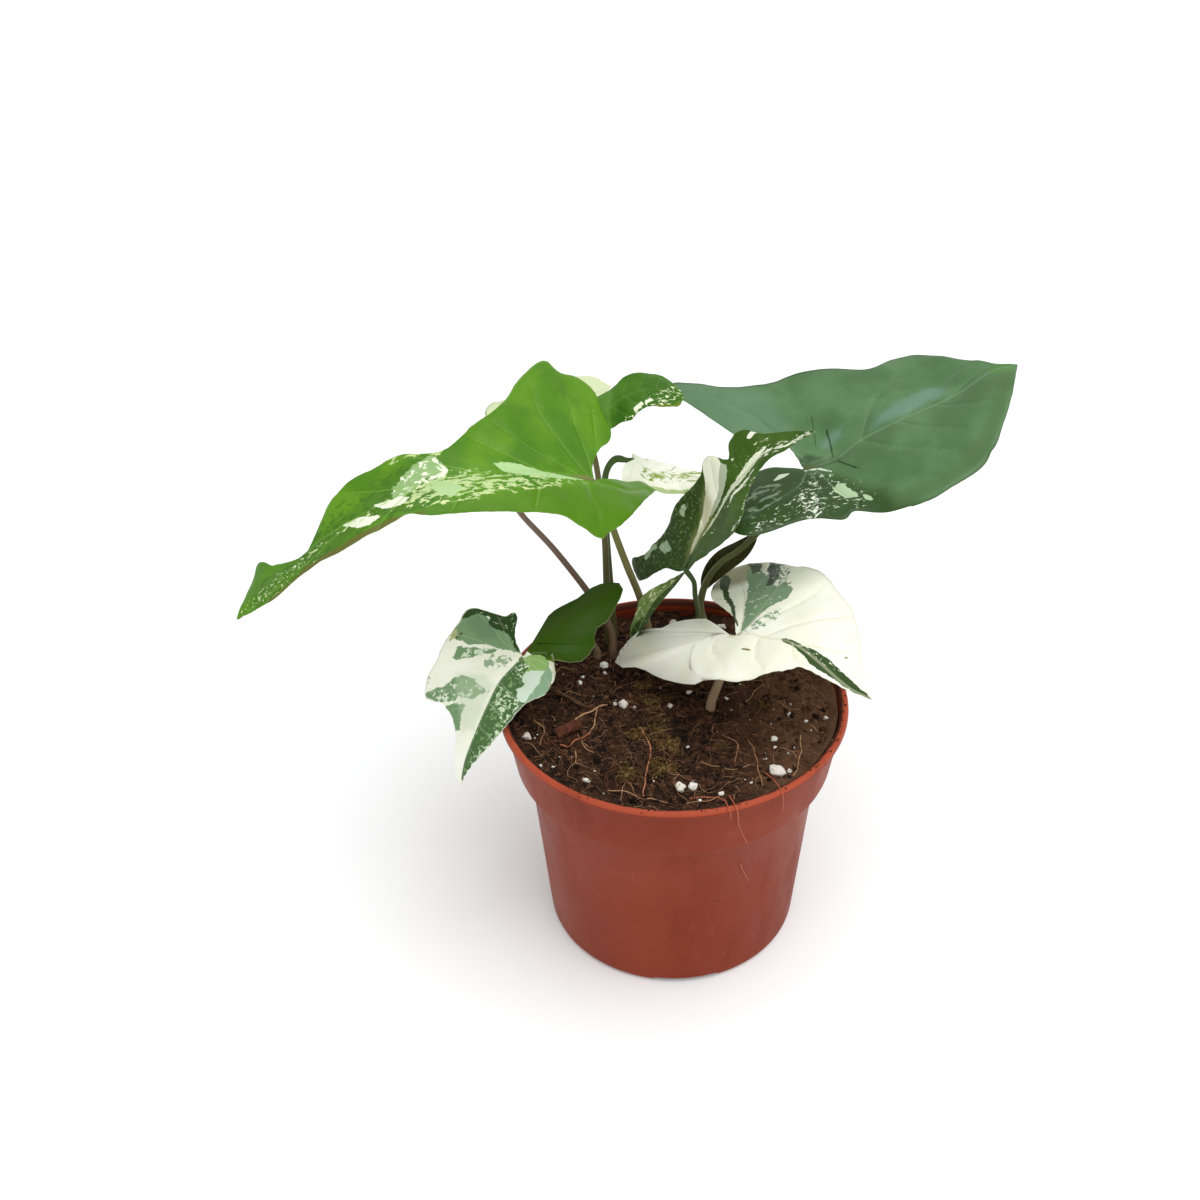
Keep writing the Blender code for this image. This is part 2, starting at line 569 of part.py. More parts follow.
def make_litter():
    """A bark chip and an old stick lying on the soil."""
    x, y = BARK_CHIP["at"]
    bm = bmesh.new()
    bmesh.ops.create_cube(bm, size=1.0)
    for v in bm.verts:
        v.co.x *= 1.0 - 0.25 * v.co.y
        v.co.z *= 1.0 + 0.3 * v.co.x
    bmesh.ops.scale(bm, vec=[s * MM for s in BARK_CHIP["size"]], verts=bm.verts)
    bmesh.ops.bevel(bm, geom=bm.edges[:], offset=0.5 * MM, segments=1, affect="EDGES")
    mesh = bpy.data.meshes.new("bark_chip")
    bm.to_mesh(mesh)
    bm.free()
    chip = add_object("bark_chip", mesh, material("bark_chip", (0.20, 0.09, 0.05, 1), 0.8))
    chip.location = (x * MM, y * MM, (soil_top(x, y) + BARK_CHIP["size"][2] / 2 + 0.9) * MM)
    chip.rotation_euler = (0, 0, math.radians(BARK_CHIP["turn"]))
    r = OLD_STICK["radius"]
    (x0, y0), (x1, y1) = OLD_STICK["ends"]
    path = []
    for k in range(7):
        f = k / 6
        px, py = x0 + (x1 - x0) * f, y0 + (y1 - y0) * f + 1.2 * math.sin(3 * f)
        path.append(Vector((px, py, max(soil_top(px, py), soil_top(px, py + 2)) + r + 0.7)))
    tube("old_stick", path, (r, r * 0.7), material("old_stick", (0.13, 0.08, 0.05, 1), 0.85))


clear_scene()
make_pot()
make_soil()
make_stalks(make_leaves())
make_litter()
bpy.context.view_layer.update()
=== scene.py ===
"""Looks of the potted arrowhead plant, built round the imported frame."""

import math
import random

import bmesh
import bpy
import numpy as np
from mathutils import Matrix, Vector, noise


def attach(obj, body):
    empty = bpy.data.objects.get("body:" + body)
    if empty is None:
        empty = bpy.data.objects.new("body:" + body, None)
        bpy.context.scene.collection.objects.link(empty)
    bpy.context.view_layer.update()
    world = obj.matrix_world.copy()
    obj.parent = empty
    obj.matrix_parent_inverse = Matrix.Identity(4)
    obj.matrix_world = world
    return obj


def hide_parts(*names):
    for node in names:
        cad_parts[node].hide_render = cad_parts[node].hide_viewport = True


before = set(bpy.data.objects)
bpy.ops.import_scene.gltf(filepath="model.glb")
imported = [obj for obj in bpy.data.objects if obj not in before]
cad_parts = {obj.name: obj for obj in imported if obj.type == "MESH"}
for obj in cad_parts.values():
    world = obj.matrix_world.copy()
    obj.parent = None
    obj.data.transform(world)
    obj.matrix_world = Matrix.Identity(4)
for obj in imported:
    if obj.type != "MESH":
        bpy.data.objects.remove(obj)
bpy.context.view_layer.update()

MM = 0.001
ROOT = "root"


# ------------------------------------------------------------ small helpers
def lin(r, g, b):
    """8-bit display colour to the linear values a shader takes."""
    out = []
    for c in (r, g, b):
        c /= 255.0
        out.append(c / 12.92 if c <= 0.04045 else ((c + 0.055) / 1.055) ** 2.4)
    return (*out, 1.0)


def catmull(points, per):
    p = np.asarray(points, float)
    p = np.vstack([2 * p[0] - p[1], p, 2 * p[-1] - p[-2]])
    out = []
    for i in range(1, len(p) - 2):
        a, b, c, d = p[i - 1:i + 3]
        for k in range(per):
            t = k / per
            out.append(0.5 * (2 * b + (c - a) * t + (2 * a - 5 * b + 4 * c - d) * t * t
                              + (3 * b - a - 3 * c + d) * t ** 3))
    out.append(p[-2])
    return np.array(out)


def run_of(points):
    return np.concatenate([[0.0], np.cumsum(np.linalg.norm(np.diff(points, axis=0), axis=1))])


def at_run(points, run, s):
    s = np.atleast_1d(s)
    return np.stack([np.interp(s, run, points[:, k]) for k in range(points.shape[1])], 1)


def resample(points, count):
    run = run_of(points)
    return at_run(points, run, np.linspace(0, run[-1], count)), run[-1]


def unit(v):
    return v / np.maximum(np.linalg.norm(v, axis=-1, keepdims=True), 1e-9)


def blend(x, xs, ys):
    """Smooth interpolation with no overshoot."""
    xs, ys = np.asarray(xs, float), np.asarray(ys, float)
    x = np.clip(x, xs[0], xs[-1])
    slope = np.diff(ys) / np.diff(xs)
    tang = np.empty(len(ys))
    tang[0], tang[-1] = slope[0], slope[-1]
    for k in range(1, len(ys) - 1):
        a, b = slope[k - 1], slope[k]
        tang[k] = 0.0 if a * b <= 0 else 2 * a * b / (a + b)
    i = np.clip(np.searchsorted(xs, x, side="left") - 1, 0, len(xs) - 2)
    h = xs[i + 1] - xs[i]
    t = (x - xs[i]) / h
    return ((2 * t ** 3 - 3 * t ** 2 + 1) * ys[i] + (t ** 3 - 2 * t ** 2 + t) * h * tang[i]
            + (-2 * t ** 3 + 3 * t ** 2) * ys[i + 1] + (t ** 3 - t ** 2) * h * tang[i + 1])


def wobble(points, scale, seed):
    """Smooth noise in about -1..1 at each of the (n, 2 or 3) points."""
    pts = np.asarray(points, float) / scale
    if pts.shape[1] == 2:
        pts = np.column_stack([pts, np.zeros(len(pts))])
    off = Vector((seed * 7.31, seed * 3.17, seed * 5.03))
    return np.array([noise.noise(Vector(p) + off) for p in pts]) * 1.6


def smoothstep(x, a, b):
    t = np.clip((x - a) / (b - a), 0, 1)
    return t * t * (3 - 2 * t)


def to_segments(points, line):
    """Distance from each point to a polyline, and the place on it (0..n-1)."""
    points, line = np.asarray(points, float), np.asarray(line, float)
    best = np.full(len(points), 1e9)
    where = np.zeros(len(points))
    for k in range(len(line) - 1):
        a, d = line[k], line[k + 1] - line[k]
        t = np.clip(((points - a) @ d) / max(d @ d, 1e-12), 0, 1)
        dist = np.linalg.norm(points - (a + t[:, None] * d), axis=1)
        near = dist < best
        best[near] = dist[near]
        where[near] = k + t[near]
    return best, where


def to_polygon(points, poly):
    """Signed distance to a closed polygon: negative inside."""
    points, poly = np.asarray(points, float), np.asarray(poly, float)
    dist, _ = to_segments(points, np.vstack([poly, poly[:1]]))
    inside = np.zeros(len(points), bool)
    x, y = points[:, 0], points[:, 1]
    for (x0, y0), (x1, y1) in zip(poly, np.roll(poly, -1, axis=0)):
        if y0 == y1:
            continue
        hit = ((y0 > y) != (y1 > y)) & (x < (x1 - x0) * (y - y0) / (y1 - y0) + x0)
        inside ^= hit
    return np.where(inside, -dist, dist)


def make_object(name, verts, faces, materials, slots=None, attributes=None, smooth=True):
    """Mesh object from arrays in millimetres."""
    mesh = bpy.data.meshes.new(name)
    mesh.from_pydata((np.asarray(verts) * MM).tolist(), [], faces)
    for m in materials:
        mesh.materials.append(m)
    if slots is not None:
        mesh.polygons.foreach_set("material_index", np.asarray(slots, np.int32))
    for key, values in (attributes or {}).items():
        values = np.asarray(values, np.float32)
        if values.ndim == 1:
            mesh.attributes.new(key, "FLOAT", "POINT").data.foreach_set("value", values)
        else:
            mesh.attributes.new(key, "FLOAT_VECTOR", "POINT").data.foreach_set(
                "vector", values.ravel())
    if smooth:
        mesh.shade_smooth()
    mesh.update()
    obj = bpy.data.objects.new(name, mesh)
    bpy.context.scene.collection.objects.link(obj)
    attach(obj, ROOT)
    return obj


class Shade:
    """A node material built by short calls."""

    def __init__(self, name, roughness=0.5, specular=0.5):
        self.mat = bpy.data.materials.new(name)
        self.mat.use_nodes = True
        self.tree = self.mat.node_tree
        self.bsdf = self.tree.nodes["Principled BSDF"]
        self.bsdf.inputs["Roughness"].default_value = roughness
        self.bsdf.inputs["Specular IOR Level"].default_value = specular

    def node(self, kind, **props):
        n = self.tree.nodes.new(kind)
        for k, v in props.items():
            setattr(n, k, v)
        return n

    def put(self, socket, value):
        if isinstance(value, bpy.types.NodeSocket):
            self.tree.links.new(value, socket)
        else:
            socket.default_value = value

    def number(self, name):
        return self.node("ShaderNodeAttribute", attribute_name=name).outputs["Fac"]

    def vector(self, name):
        return self.node("ShaderNodeAttribute", attribute_name=name).outputs["Vector"]

    def place(self):
        return self.node("ShaderNodeTexCoord").outputs["Object"]

    def scaled(self, vector, scale, turn=0.0):
        n = self.node("ShaderNodeMapping")
        self.put(n.inputs["Vector"], vector)
        n.inputs["Scale"].default_value = scale
        n.inputs["Rotation"].default_value = (0, 0, turn)
        return n.outputs["Vector"]

    def noise(self, vector, scale, detail=3.0, rough=0.55, twist=0.0):
        n = self.node("ShaderNodeTexNoise")
        self.put(n.inputs["Vector"], vector)
        n.inputs["Scale"].default_value = scale
        n.inputs["Detail"].default_value = detail
        n.inputs["Roughness"].default_value = rough
        n.inputs["Distortion"].default_value = twist
        return n.outputs["Fac"]

    def cells(self, vector, scale, feature="DISTANCE_TO_EDGE"):
        n = self.node("ShaderNodeTexVoronoi", feature=feature)
        self.put(n.inputs["Vector"], vector)
        n.inputs["Scale"].default_value = scale
        return n.outputs["Distance"]

    def math(self, op, a, b=0.0, c=None):
        n = self.node("ShaderNodeMath", operation=op)
        self.put(n.inputs[0], a)
        self.put(n.inputs[1], b)
        if c is not None:
            self.put(n.inputs[2], c)
        return n.outputs[0]

    def step(self, x, lo, hi, to_min=0.0, to_max=1.0):
        n = self.node("ShaderNodeMapRange", interpolation_type="SMOOTHSTEP")
        self.put(n.inputs["Value"], x)
        n.inputs["From Min"].default_value = lo
        n.inputs["From Max"].default_value = hi
        n.inputs["To Min"].default_value = to_min
        n.inputs["To Max"].default_value = to_max
        return n.outputs["Result"]

    def mix(self, factor, a, b):
        n = self.node("ShaderNodeMix", data_type="RGBA")
        self.put(n.inputs[0], factor)
        self.put(n.inputs[6], a)
        self.put(n.inputs[7], b)
        return n.outputs[2]

    def colour(self, value):
        self.put(self.bsdf.inputs["Base Color"], value)

    def rough(self, value):
        self.put(self.bsdf.inputs["Roughness"], value)

    def bump(self, height, strength, distance=0.0005):
        n = self.node("ShaderNodeBump")
        n.inputs["Strength"].default_value = strength
        n.inputs["Distance"].default_value = distance
        self.put(n.inputs["Height"], height)
        self.put(self.bsdf.inputs["Normal"], n.outputs["Normal"])


# -------------------------------------------------------------- leaf blades
# Same shapes as the frame's blades: midrib in space, outline pairs (along the
# midrib, across from it), fold and curl of each half.
LEAVES = {
    "leaf_lime_left": dict(
        rib=[(-25, 14, 172), (-37, 7, 179), (-48, 0, 184), (-69, -10, 188),
             (-84, -16, 186), (-99, -21, 179), (-115, -25, 166), (-136, -28, 150)],
        left=[(-17, -5), (-34, -13), (-36, -11), (-18, 6), (-7, 16), (2, 22),
              (7, 24), (24, 18), (60, 12), (69, 8), (76, 8), (92, 6), (106, 2), (122, 2)],
        right=[(-1, 6), (-6, 13), (-12, 18), (-14, 23), (-13, 28), (-10, 36), (-5, 41),
               (3, 42), (8, 45), (12, 43), (18, 36), (26, 27), (40, 18), (52, 10), (67, 13),
               (87, 12), (104, 4), (116, 9), (123, 15)],
        fold_left=(-10, -10, -20, -25), fold_right=(30, 30, 25, 10),
        curl_left=(-80, -80, -50, 0), curl_right=(10, 10, 0, 0), lobes=(-15, 0)),
    "leaf_dark_right": dict(
        rib=[(47, 40, 159), (58, 43, 161), (66, 46, 166), (79, 50, 171),
             (99, 56, 177), (112, 60, 184), (122, 63, 185)],
        left=[(-1, 14), (-9, 19), (-15, 25), (-20, 36), (-24, 46), (-27, 53), (-26, 60),
              (-18, 56), (-3, 47), (17, 44), (27, 40), (41, 31), (51, 32), (61, 27), (69, 16),
              (76, 6)],
        right=[(-11, -8), (-19, -6), (-32, 10), (-34, 17), (-28, 23), (-9, 24), (1, 29),
               (6, 27), (15, 34), (27, 39), (46, 38), (55, 32), (64, 24), (73, 15)],
        fold_left=(14, 14, 8, 0), fold_right=(0, 0, 0, 0),
        curl_left=(0, 0, 0, 0), curl_right=(-20, -20, -10, 0), lobes=(0, 0), ease=7.0),
    "leaf_hump_back": dict(
        rib=[(-27, 46, 176), (-20, 48, 180), (-13, 50, 184), (-5, 52, 185),
             (6, 55, 181)],
        left=[(0, 6), (1, 13), (4, 13), (8, 10), (14, 9), (19, 11), (25, 12),
              (31, 12), (35, 9), (37, 4)],
        right=[(-3, 1), (-2, 6), (2, 7), (8, 7), (13, 8), (19, 7), (26, 7),
               (32, 7), (35, 5), (37, 2)],
        fold_left=(5, 5, 5, 5), fold_right=(-35, -35, -35, -20),
        curl_left=(-10, -10, -10, 0), curl_right=(0, 0, 0, 0), lobes=(0, 0)),
    "leaf_pale_back": dict(
        rib=[(-53, 54, 151), (-48, 60, 157), (-40, 68, 164), (-29, 77, 170),
             (-18, 84, 171)],
        left=[(-2, 3), (1, 10), (8, 18), (15, 25), (19, 26), (23, 22), (38, 12),
              (44, 11), (49, 8)],
        right=[(-2, 4), (0, 11), (8, 15), (17, 13), (27, 10), (35, 10), (45, 6)],
        fold_left=(10, 10, 10, 10), fold_right=(0, 0, 0, 0),
        curl_left=(0, 0, 0, 0), curl_right=(0, 0, 0, 0), lobes=(0, 0)),
    "leaf_white_middle": dict(
        rib=[(-11, 49, 160), (-7, 49, 156), (1, 48, 153), (10, 46, 153),
             (16, 45, 153)],
        left=[(-1, 2), (5, 4), (13, 6), (20, 5), (27, 4)],
        right=[(-2, 4), (-2, 9), (2, 11), (6, 8), (16, 6), (21, 6), (26, 4)],
        fold_left=(20, 20, 15, 10), fold_right=(-30, -30, -30, -25),
        curl_left=(0, 0, 0, 0), curl_right=(0, 0, 0, 0), lobes=(0, 0)),
    "leaf_variegated_middle": dict(
        rib=[(6, 25, 130), (9, 25, 139), (15, 25, 149), (20, 25, 160),
             (23, 25, 164), (31, 26, 173), (40, 27, 177), (48, 28, 180)],
        left=[(-3, 2), (-7, 9), (-13, 14), (-20, 20), (-16, 27), (-9, 21), (5, 16),
              (17, 17), (28, 15), (33, 17), (36, 15), (40, 9), (44, 13), (49, 13), (53, 8),
              (61, 4)],
        right=[(2, 4), (10, 9), (15, 12), (29, 19), (35, 18), (39, 10), (43, 7), (56, 3)],
        fold_left=(32, 32, 30, 25), fold_right=(-4, -4, -4, -4),
        curl_left=(0, 0, 0, 0), curl_right=(0, 0, 0, 0), lobes=(0, 0)),
    "leaf_cream_front": dict(
        rib=[(21, -3, 121), (25, -8, 125), (29, -13, 127), (35, -19, 130),
             (40, -24, 130), (45, -29, 128), (53, -35, 123), (60, -39, 121)],
        left=[(-13, 11), (-35, 20), (-40, 31), (-38, 36), (-31, 40), (-22, 42), (-8, 40),
              (6, 37), (15, 35), (24, 31), (33, 25), (42, 19), (48, 12), (55, 4)],
        right=[(-7, -1), (-26, -8), (-39, -2), (-40, 2), (-48, 6), (-46, 21), (-35, 19),
               (-20, 21), (-1, 22), (1, 20), (14, 19), (30, 10), (35, 5), (49, 1)],
        fold_left=(15, 15, 5, 0), fold_right=(-15, -15, -20, -20),
        curl_left=(0, 0, -10, 0), curl_right=(-20, -20, -20, 0), lobes=(10, 10)),
    "leaf_variegated_front": dict(
        rib=[(-51, 3, 110), (-55, -1, 108), (-59, -6, 106), (-63, -12, 101),
             (-67, -17, 94), (-71, -21, 85), (-73, -23, 76)],
        left=[(-7, 0), (-18, -4), (-28, -1), (-37, 1), (-43, 8), (-36, 12), (-28, 14),
              (-23, 13), (-18, 17), (-13, 18), (-10, 17), (-5, 9), (-4, 8), (1, 13),
              (7, 16), (16, 12), (26, 9), (38, 5)],
        right=[(-4, 7), (-11, 13), (-11, 15), (-8, 17), (-5, 27), (-1, 29), (6, 27),
               (14, 25), (20, 26), (28, 25), (29, 21), (28, 16), (35, 8), (48, 3)],
        fold_left=(-10, -10, -10, 0), fold_right=(10, 10, 0, 0),
        curl_left=(0, 0, 0, 0), curl_right=(0, 0, 0, 0), lobes=(0, 0)),
    "leaf_young_spear": dict(
        rib=[(-12, 30, 96), (-9, 30, 104), (-5, 31, 112), (1, 32, 118), (7, 33, 124)],
        left=[(-1, 2), (3, 4), (15, 5), (19, 4), (27, 2)],
        right=[(-1, 3), (5, 5), (15, 6), (23, 5), (28, 3)],
        fold_left=(30, 30, 30, 20), fold_right=(15, 15, 15, 20),
        curl_left=(0, 0, 0, 0), curl_right=(0, 0, 0, 0), lobes=(0, 0)),
}


class Blade:
    """Maps arrays of (along, across) of one half to points in space."""

    STEPS = 121

    def __init__(self, spec):
        self.rib, self.length = resample(catmull(spec["rib"], 24), self.STEPS)
        t = np.vstack([self.rib[1] - self.rib[0], self.rib[2:] - self.rib[:-2],
                       self.rib[-1] - self.rib[-2]])
        self.tan = self.eased(unit(t), spec.get("ease", 3.0))
        self.folds = (spec["fold_left"], spec["fold_right"])
        self.curls = (spec["curl_left"], spec["curl_right"])
        self.lobes = spec["lobes"]

    def eased(self, values, reach):
        """Gaussian average along the midrib over about `reach` mm."""
        step = self.length / (self.STEPS - 1)
        half = int(3 * reach / step) + 1
        kernel = np.exp(-0.5 * (np.arange(-half, half + 1) * step / reach) ** 2)
        padded = np.pad(values, ((half, half), (0, 0)), "edge")
        out = np.stack([np.convolve(padded[:, k], kernel, "valid") for k in range(3)], 1)
        return unit(out)

    def point(self, along, across, side):
        along, across = np.asarray(along, float), np.asarray(across, float)
        f = np.clip(along, 0, self.length) / self.length * (self.STEPS - 1)
        i = np.minimum(f.astype(int), self.STEPS - 2)
        f = (f - i)[:, None]
        here = self.rib[i] * (1 - f) + self.rib[i + 1] * f
        tangent = unit(self.tan[i] * (1 - f) + self.tan[i + 1] * f)
        sideways = unit(np.cross([0, 0, 1.0], tangent))
        normal = np.cross(tangent, sideways)
        rate = math.radians(self.lobes[side]) / (0.4 * self.length)
        turn = rate * np.maximum(-along, 0)
        if abs(rate) > 1e-9:
            back, rise = np.sin(turn) / rate, (1 - np.cos(turn)) / rate
        else:
            back, rise = np.maximum(-along, 0), np.zeros(len(along))
        here = here - tangent * back[:, None] + normal * rise[:, None]
        normal = normal * np.cos(turn)[:, None] + tangent * np.sin(turn)[:, None]
        stations = np.array([-0.4, 0.0, 0.5, 1.0]) * self.length
        start = np.radians(blend(along, stations, self.folds[side]))
        bend = np.radians(blend(along, stations, self.curls[side])) / (0.4 * self.length)
        bend = np.where(np.abs(bend) < 1e-6, 1e-6, bend)
        end = start + bend * across
        out = (np.sin(end) - np.sin(start)) / bend
        up = (np.cos(start) - np.cos(end)) / bend
        sign = 1.0 if side == 0 else -1.0
        return here + sideways * (sign * out)[:, None] + normal * up[:, None]


def bearing(p):
    return np.arctan2(p[..., 1], p[..., 0]) % (2 * math.pi)


class Half:
    """One half of a blade in the flat: its edge and where rows meet it."""

    def __init__(self, outline, length, ragged, seed):
        edge = catmull([(0, 0)] + list(outline) + [(length, 0)], 40)
        run = run_of(edge)
        high, feet = 0.0, []
        for p, s in zip(edge, run):
            high = max(high, p[0] - 0.55 * abs(p[1]))
            feet.append(high + 0.02 * s * (high > 0))
        self.feet = np.array(feet) / feet[-1] * length
        self.last = int(np.max(np.where(self.feet <= 0)[0]))
        self.edge, self.run, self.length = edge, run, length
        turn = max(self.last, 1)
        theta = bearing(edge)
        while turn > 1 and theta[turn - 1] >= theta[turn] - 1e-4:
            turn -= 1
        lobe = run[self.last]
        self.begin = min(max(run[turn], 0.35 * run[40]), max(lobe - 1.0, 0.6 * lobe))
        # small uneven teeth of the margin
        d = unit(np.gradient(edge, axis=0))
        out = np.stack([-d[:, 1], d[:, 0]], 1)
        if to_polygon(edge[200:201] + out[200:201] * 0.4, edge)[0] < 0:
            out = -out
        key = np.column_stack([run, np.full(len(run), seed * 3.7)])
        fade = smoothstep(run, 0, 6) * smoothstep(run[-1] - run, 0, 6)
        rag = wobble(key, 5.0, seed) * 0.55 + wobble(key, 1.9, seed + 1) * 0.35
        self.edge = edge + out * (rag * ragged * fade)[:, None]

    def on_edge(self, s):
        return at_run(self.edge, self.run, s)


CURVE_ROWS = 0.3      # side veins bend towards the tip


def flat_rows(half, feet, gap, shares):
    """(feet, rows x shares x 2) of the flat positions of one half."""
    lobe = half.run[half.last]
    count = max(2, int((lobe - half.begin) / gap) + 1)
    notch = half.on_edge(shares * half.begin)
    theta = bearing(notch)
    first = bearing(half.on_edge(half.begin))[0]
    final = bearing(half.on_edge(lobe))[0]
    near = np.maximum.accumulate(np.linalg.norm(notch, axis=1))
    rows, starts = [], []
    ends = half.on_edge(np.linspace(half.begin, lobe, count))
    parts = np.zeros(count)
    if first > final + 1e-6:      # rows never swing back, so they never cross
        parts = np.minimum.accumulate((bearing(ends) - final) / (first - final))
        parts = np.clip(parts - 2e-5 * np.arange(count), 0, 1)
    for k, (end, part) in enumerate(zip(ends, parts)):
        if k == 0:
            rows.append(notch)
        else:
            reach = np.linalg.norm(end)
            r = reach * shares
            at = np.interp(r * max(1.0, near[-1] / reach), near, theta)
            to = final + (at - final) * part
            rows.append(np.stack([np.cos(to) * r, np.sin(to) * r], 1))
        starts.append(0.0)
    g = shares + CURVE_ROWS * shares * (shares - 1)
    for foot in feet:
        s = np.interp(foot, half.feet[half.last:], half.run[half.last:])
        end = half.on_edge(s)[0]
        bent = CURVE_ROWS * min(1.0, foot / 8.0)
        g = shares + bent * shares * (shares - 1)
        rows.append(np.stack([foot * (1 - g) + end[0] * g, end[1] * shares], 1))
        starts.append(foot)
    return np.array(starts), np.array(rows), count


def leaf_mesh(name, look):
    """Thin solid blade with sunken veins, keel, wavy edge and mark fields."""
    spec = LEAVES[name]
    blade = Blade(spec)
    seed = look["seed"]
    halves = [Half(spec[k], blade.length, look.get("ragged", 0.5), seed + n)
              for n, k in enumerate(("left", "right"))]
    gap, across = look.get("gap", 0.8), look.get("across", 26)
    wanted = []
    for h in halves:
        q = (0.5 * (h.run - h.run[h.last]) / (h.run[-1] - h.run[h.last])
             + 0.5 * h.feet / h.length)[h.last:]
        n = max(12, int((h.run[-1] - h.run[h.last]) / gap))
        wanted.append(np.interp(np.linspace(0, 1, n + 1)[1:-1], q, h.feet[h.last:]))
    feet = np.sort(np.concatenate(wanted))
    feet = feet[(feet > 0.05) & (feet < blade.length - 0.05)]
    keep = np.concatenate([[True], np.diff(feet) > 1e-3])
    feet = feet[keep]
    shares = (np.arange(1, across + 1) / across) ** 1.25

    mid, flat, side_of, column = [np.zeros(3)], [np.zeros(2)], [0], [0.0]
    mid[0] = blade.point([0.0], [0.0], 0)[0]
    ribs = blade.point(feet, np.zeros(len(feet)), 0)
    for f, p in zip(feet, ribs):
        mid.append(p)
        flat.append(np.array([f, 0.0]))
        side_of.append(0)
        column.append(0.0)
    tip = len(mid)
    mid.append(blade.point([blade.length], [0.0], 0)[0])
    flat.append(np.array([blade.length, 0.0]))
    side_of.append(0)
    column.append(1.0)

    quads, margins, veins = [], [], []
    for side, half in enumerate(halves):
        starts, rows, fans = flat_rows(half, feet, gap, shares)
        index = np.arange(rows.shape[0] * across).reshape(rows.shape[0], across) + len(mid)
        pts = blade.point(rows[..., 0].ravel(), rows[..., 1].ravel(), side)
        mid.extend(pts)
        flat.extend(rows.reshape(-1, 2))
        side_of.extend([side] * rows.shape[0] * across)
        column.extend(np.tile(shares, rows.shape[0]))
        first = [0 if k < fans else k - fans + 1 for k in range(rows.shape[0])]
        grid = np.column_stack([first, index])
        grid = np.vstack([grid, np.full((1, across + 1), tip)])
        for a, b in zip(grid, grid[1:]):
            for j in range(across):
                c = []
                for v in (a[j], b[j], b[j + 1], a[j + 1]):
                    if v not in c:
                        c.append(int(v))
                if len(c) > 2:
                    quads.append(c[::-1] if side else c)
        margins.append([0] + [int(v) for v in grid[0, 1:-1]] + [int(v) for v in grid[:-1, -1]]
                       + [tip])
        # side veins run along some of the rows
        if "lanes" in look:
            veins.extend((side, catmull(p, 6)) for which, p in look["lanes"]
                         if which == "LR"[side])
            continue
        for f in look.get("fan_veins", (0.25, 0.5, 0.8)):
            k = int(f * (fans - 1))
            veins.append((side, np.vstack([[0, 0], rows[k][shares <= 0.93]])))
        for f in look.get("side_veins", (0.1, 0.24, 0.4, 0.56, 0.72)):
            f = f + (0.03 if side else 0.0)
            k = fans + int(np.argmin(np.abs(feet - f * blade.length)))
            veins.append((side, np.vstack([[starts[k], 0], rows[k][shares <= 0.93]])))

    mid, flat = np.array(mid), np.array(flat)
    side_of, column = np.array(side_of), np.array(column)
    on_rib = np.abs(flat[:, 1]) < 1e-9
    near = np.full(len(mid), 99.0)
    for side, line in veins:
        pick = (side_of == side) | on_rib
        d, at = to_segments(flat[pick], line)
        fade = 1.0 + 0.8 * at / (len(line) - 1)
        near[pick] = np.minimum(near[pick], d * fade)
    rib_dist = np.where(flat[:, 0] < 0, np.hypot(flat[:, 0], flat[:, 1]), np.abs(flat[:, 1]))

    # vertex normals of the middle surface, top side up
    tri = np.array([(q[0], q[k], q[k + 1]) for q in quads for k in range(1, len(q) - 1)])
    fn = np.cross(mid[tri[:, 1]] - mid[tri[:, 0]], mid[tri[:, 2]] - mid[tri[:, 0]])
    nrm = np.zeros_like(mid)
    for k in range(3):
        np.add.at(nrm, tri[:, k], fn)
    nrm = unit(nrm)
    if look.get("flip", False):
        nrm = -nrm
    if (nrm * [0, 0, 1]).sum() < 0:
        nrm = -nrm
        quads = [q[::-1] for q in quads]

    signed = np.where(side_of == 0, flat[:, 1], -flat[:, 1])
    key = np.column_stack([flat[:, 0], signed])
    dv = np.minimum(near, rib_dist * 0.8)
    relief = look.get("quilt", 0.28)
    lift = relief * (1 - np.exp(-(dv / 1.7) ** 2)) * (1 - 0.6 * column ** 4)
    lift += look.get("swell", 0.35) * wobble(key, 13.0, seed) * smoothstep(column, 0.05, 0.5)
    wave = look.get("wave", 0.5)
    lift += wave * wobble(key, 8.0, seed + 2) * column ** 3
    mid = mid + nrm * lift[:, None]
    thick = np.where(column > 0.999, 0.05, 0.17)
    keel = look.get("keel", 0.5) * np.exp(-(rib_dist / 1.0) ** 2) * np.sqrt(
        np.clip(1 - flat[:, 0] / blade.length, 0, 1))
    keel += 0.12 * np.exp(-(near / 0.9) ** 2) * (1 - column)
    top = mid + nrm * thick[:, None]
    bottom = mid - nrm * (thick + keel)[:, None]

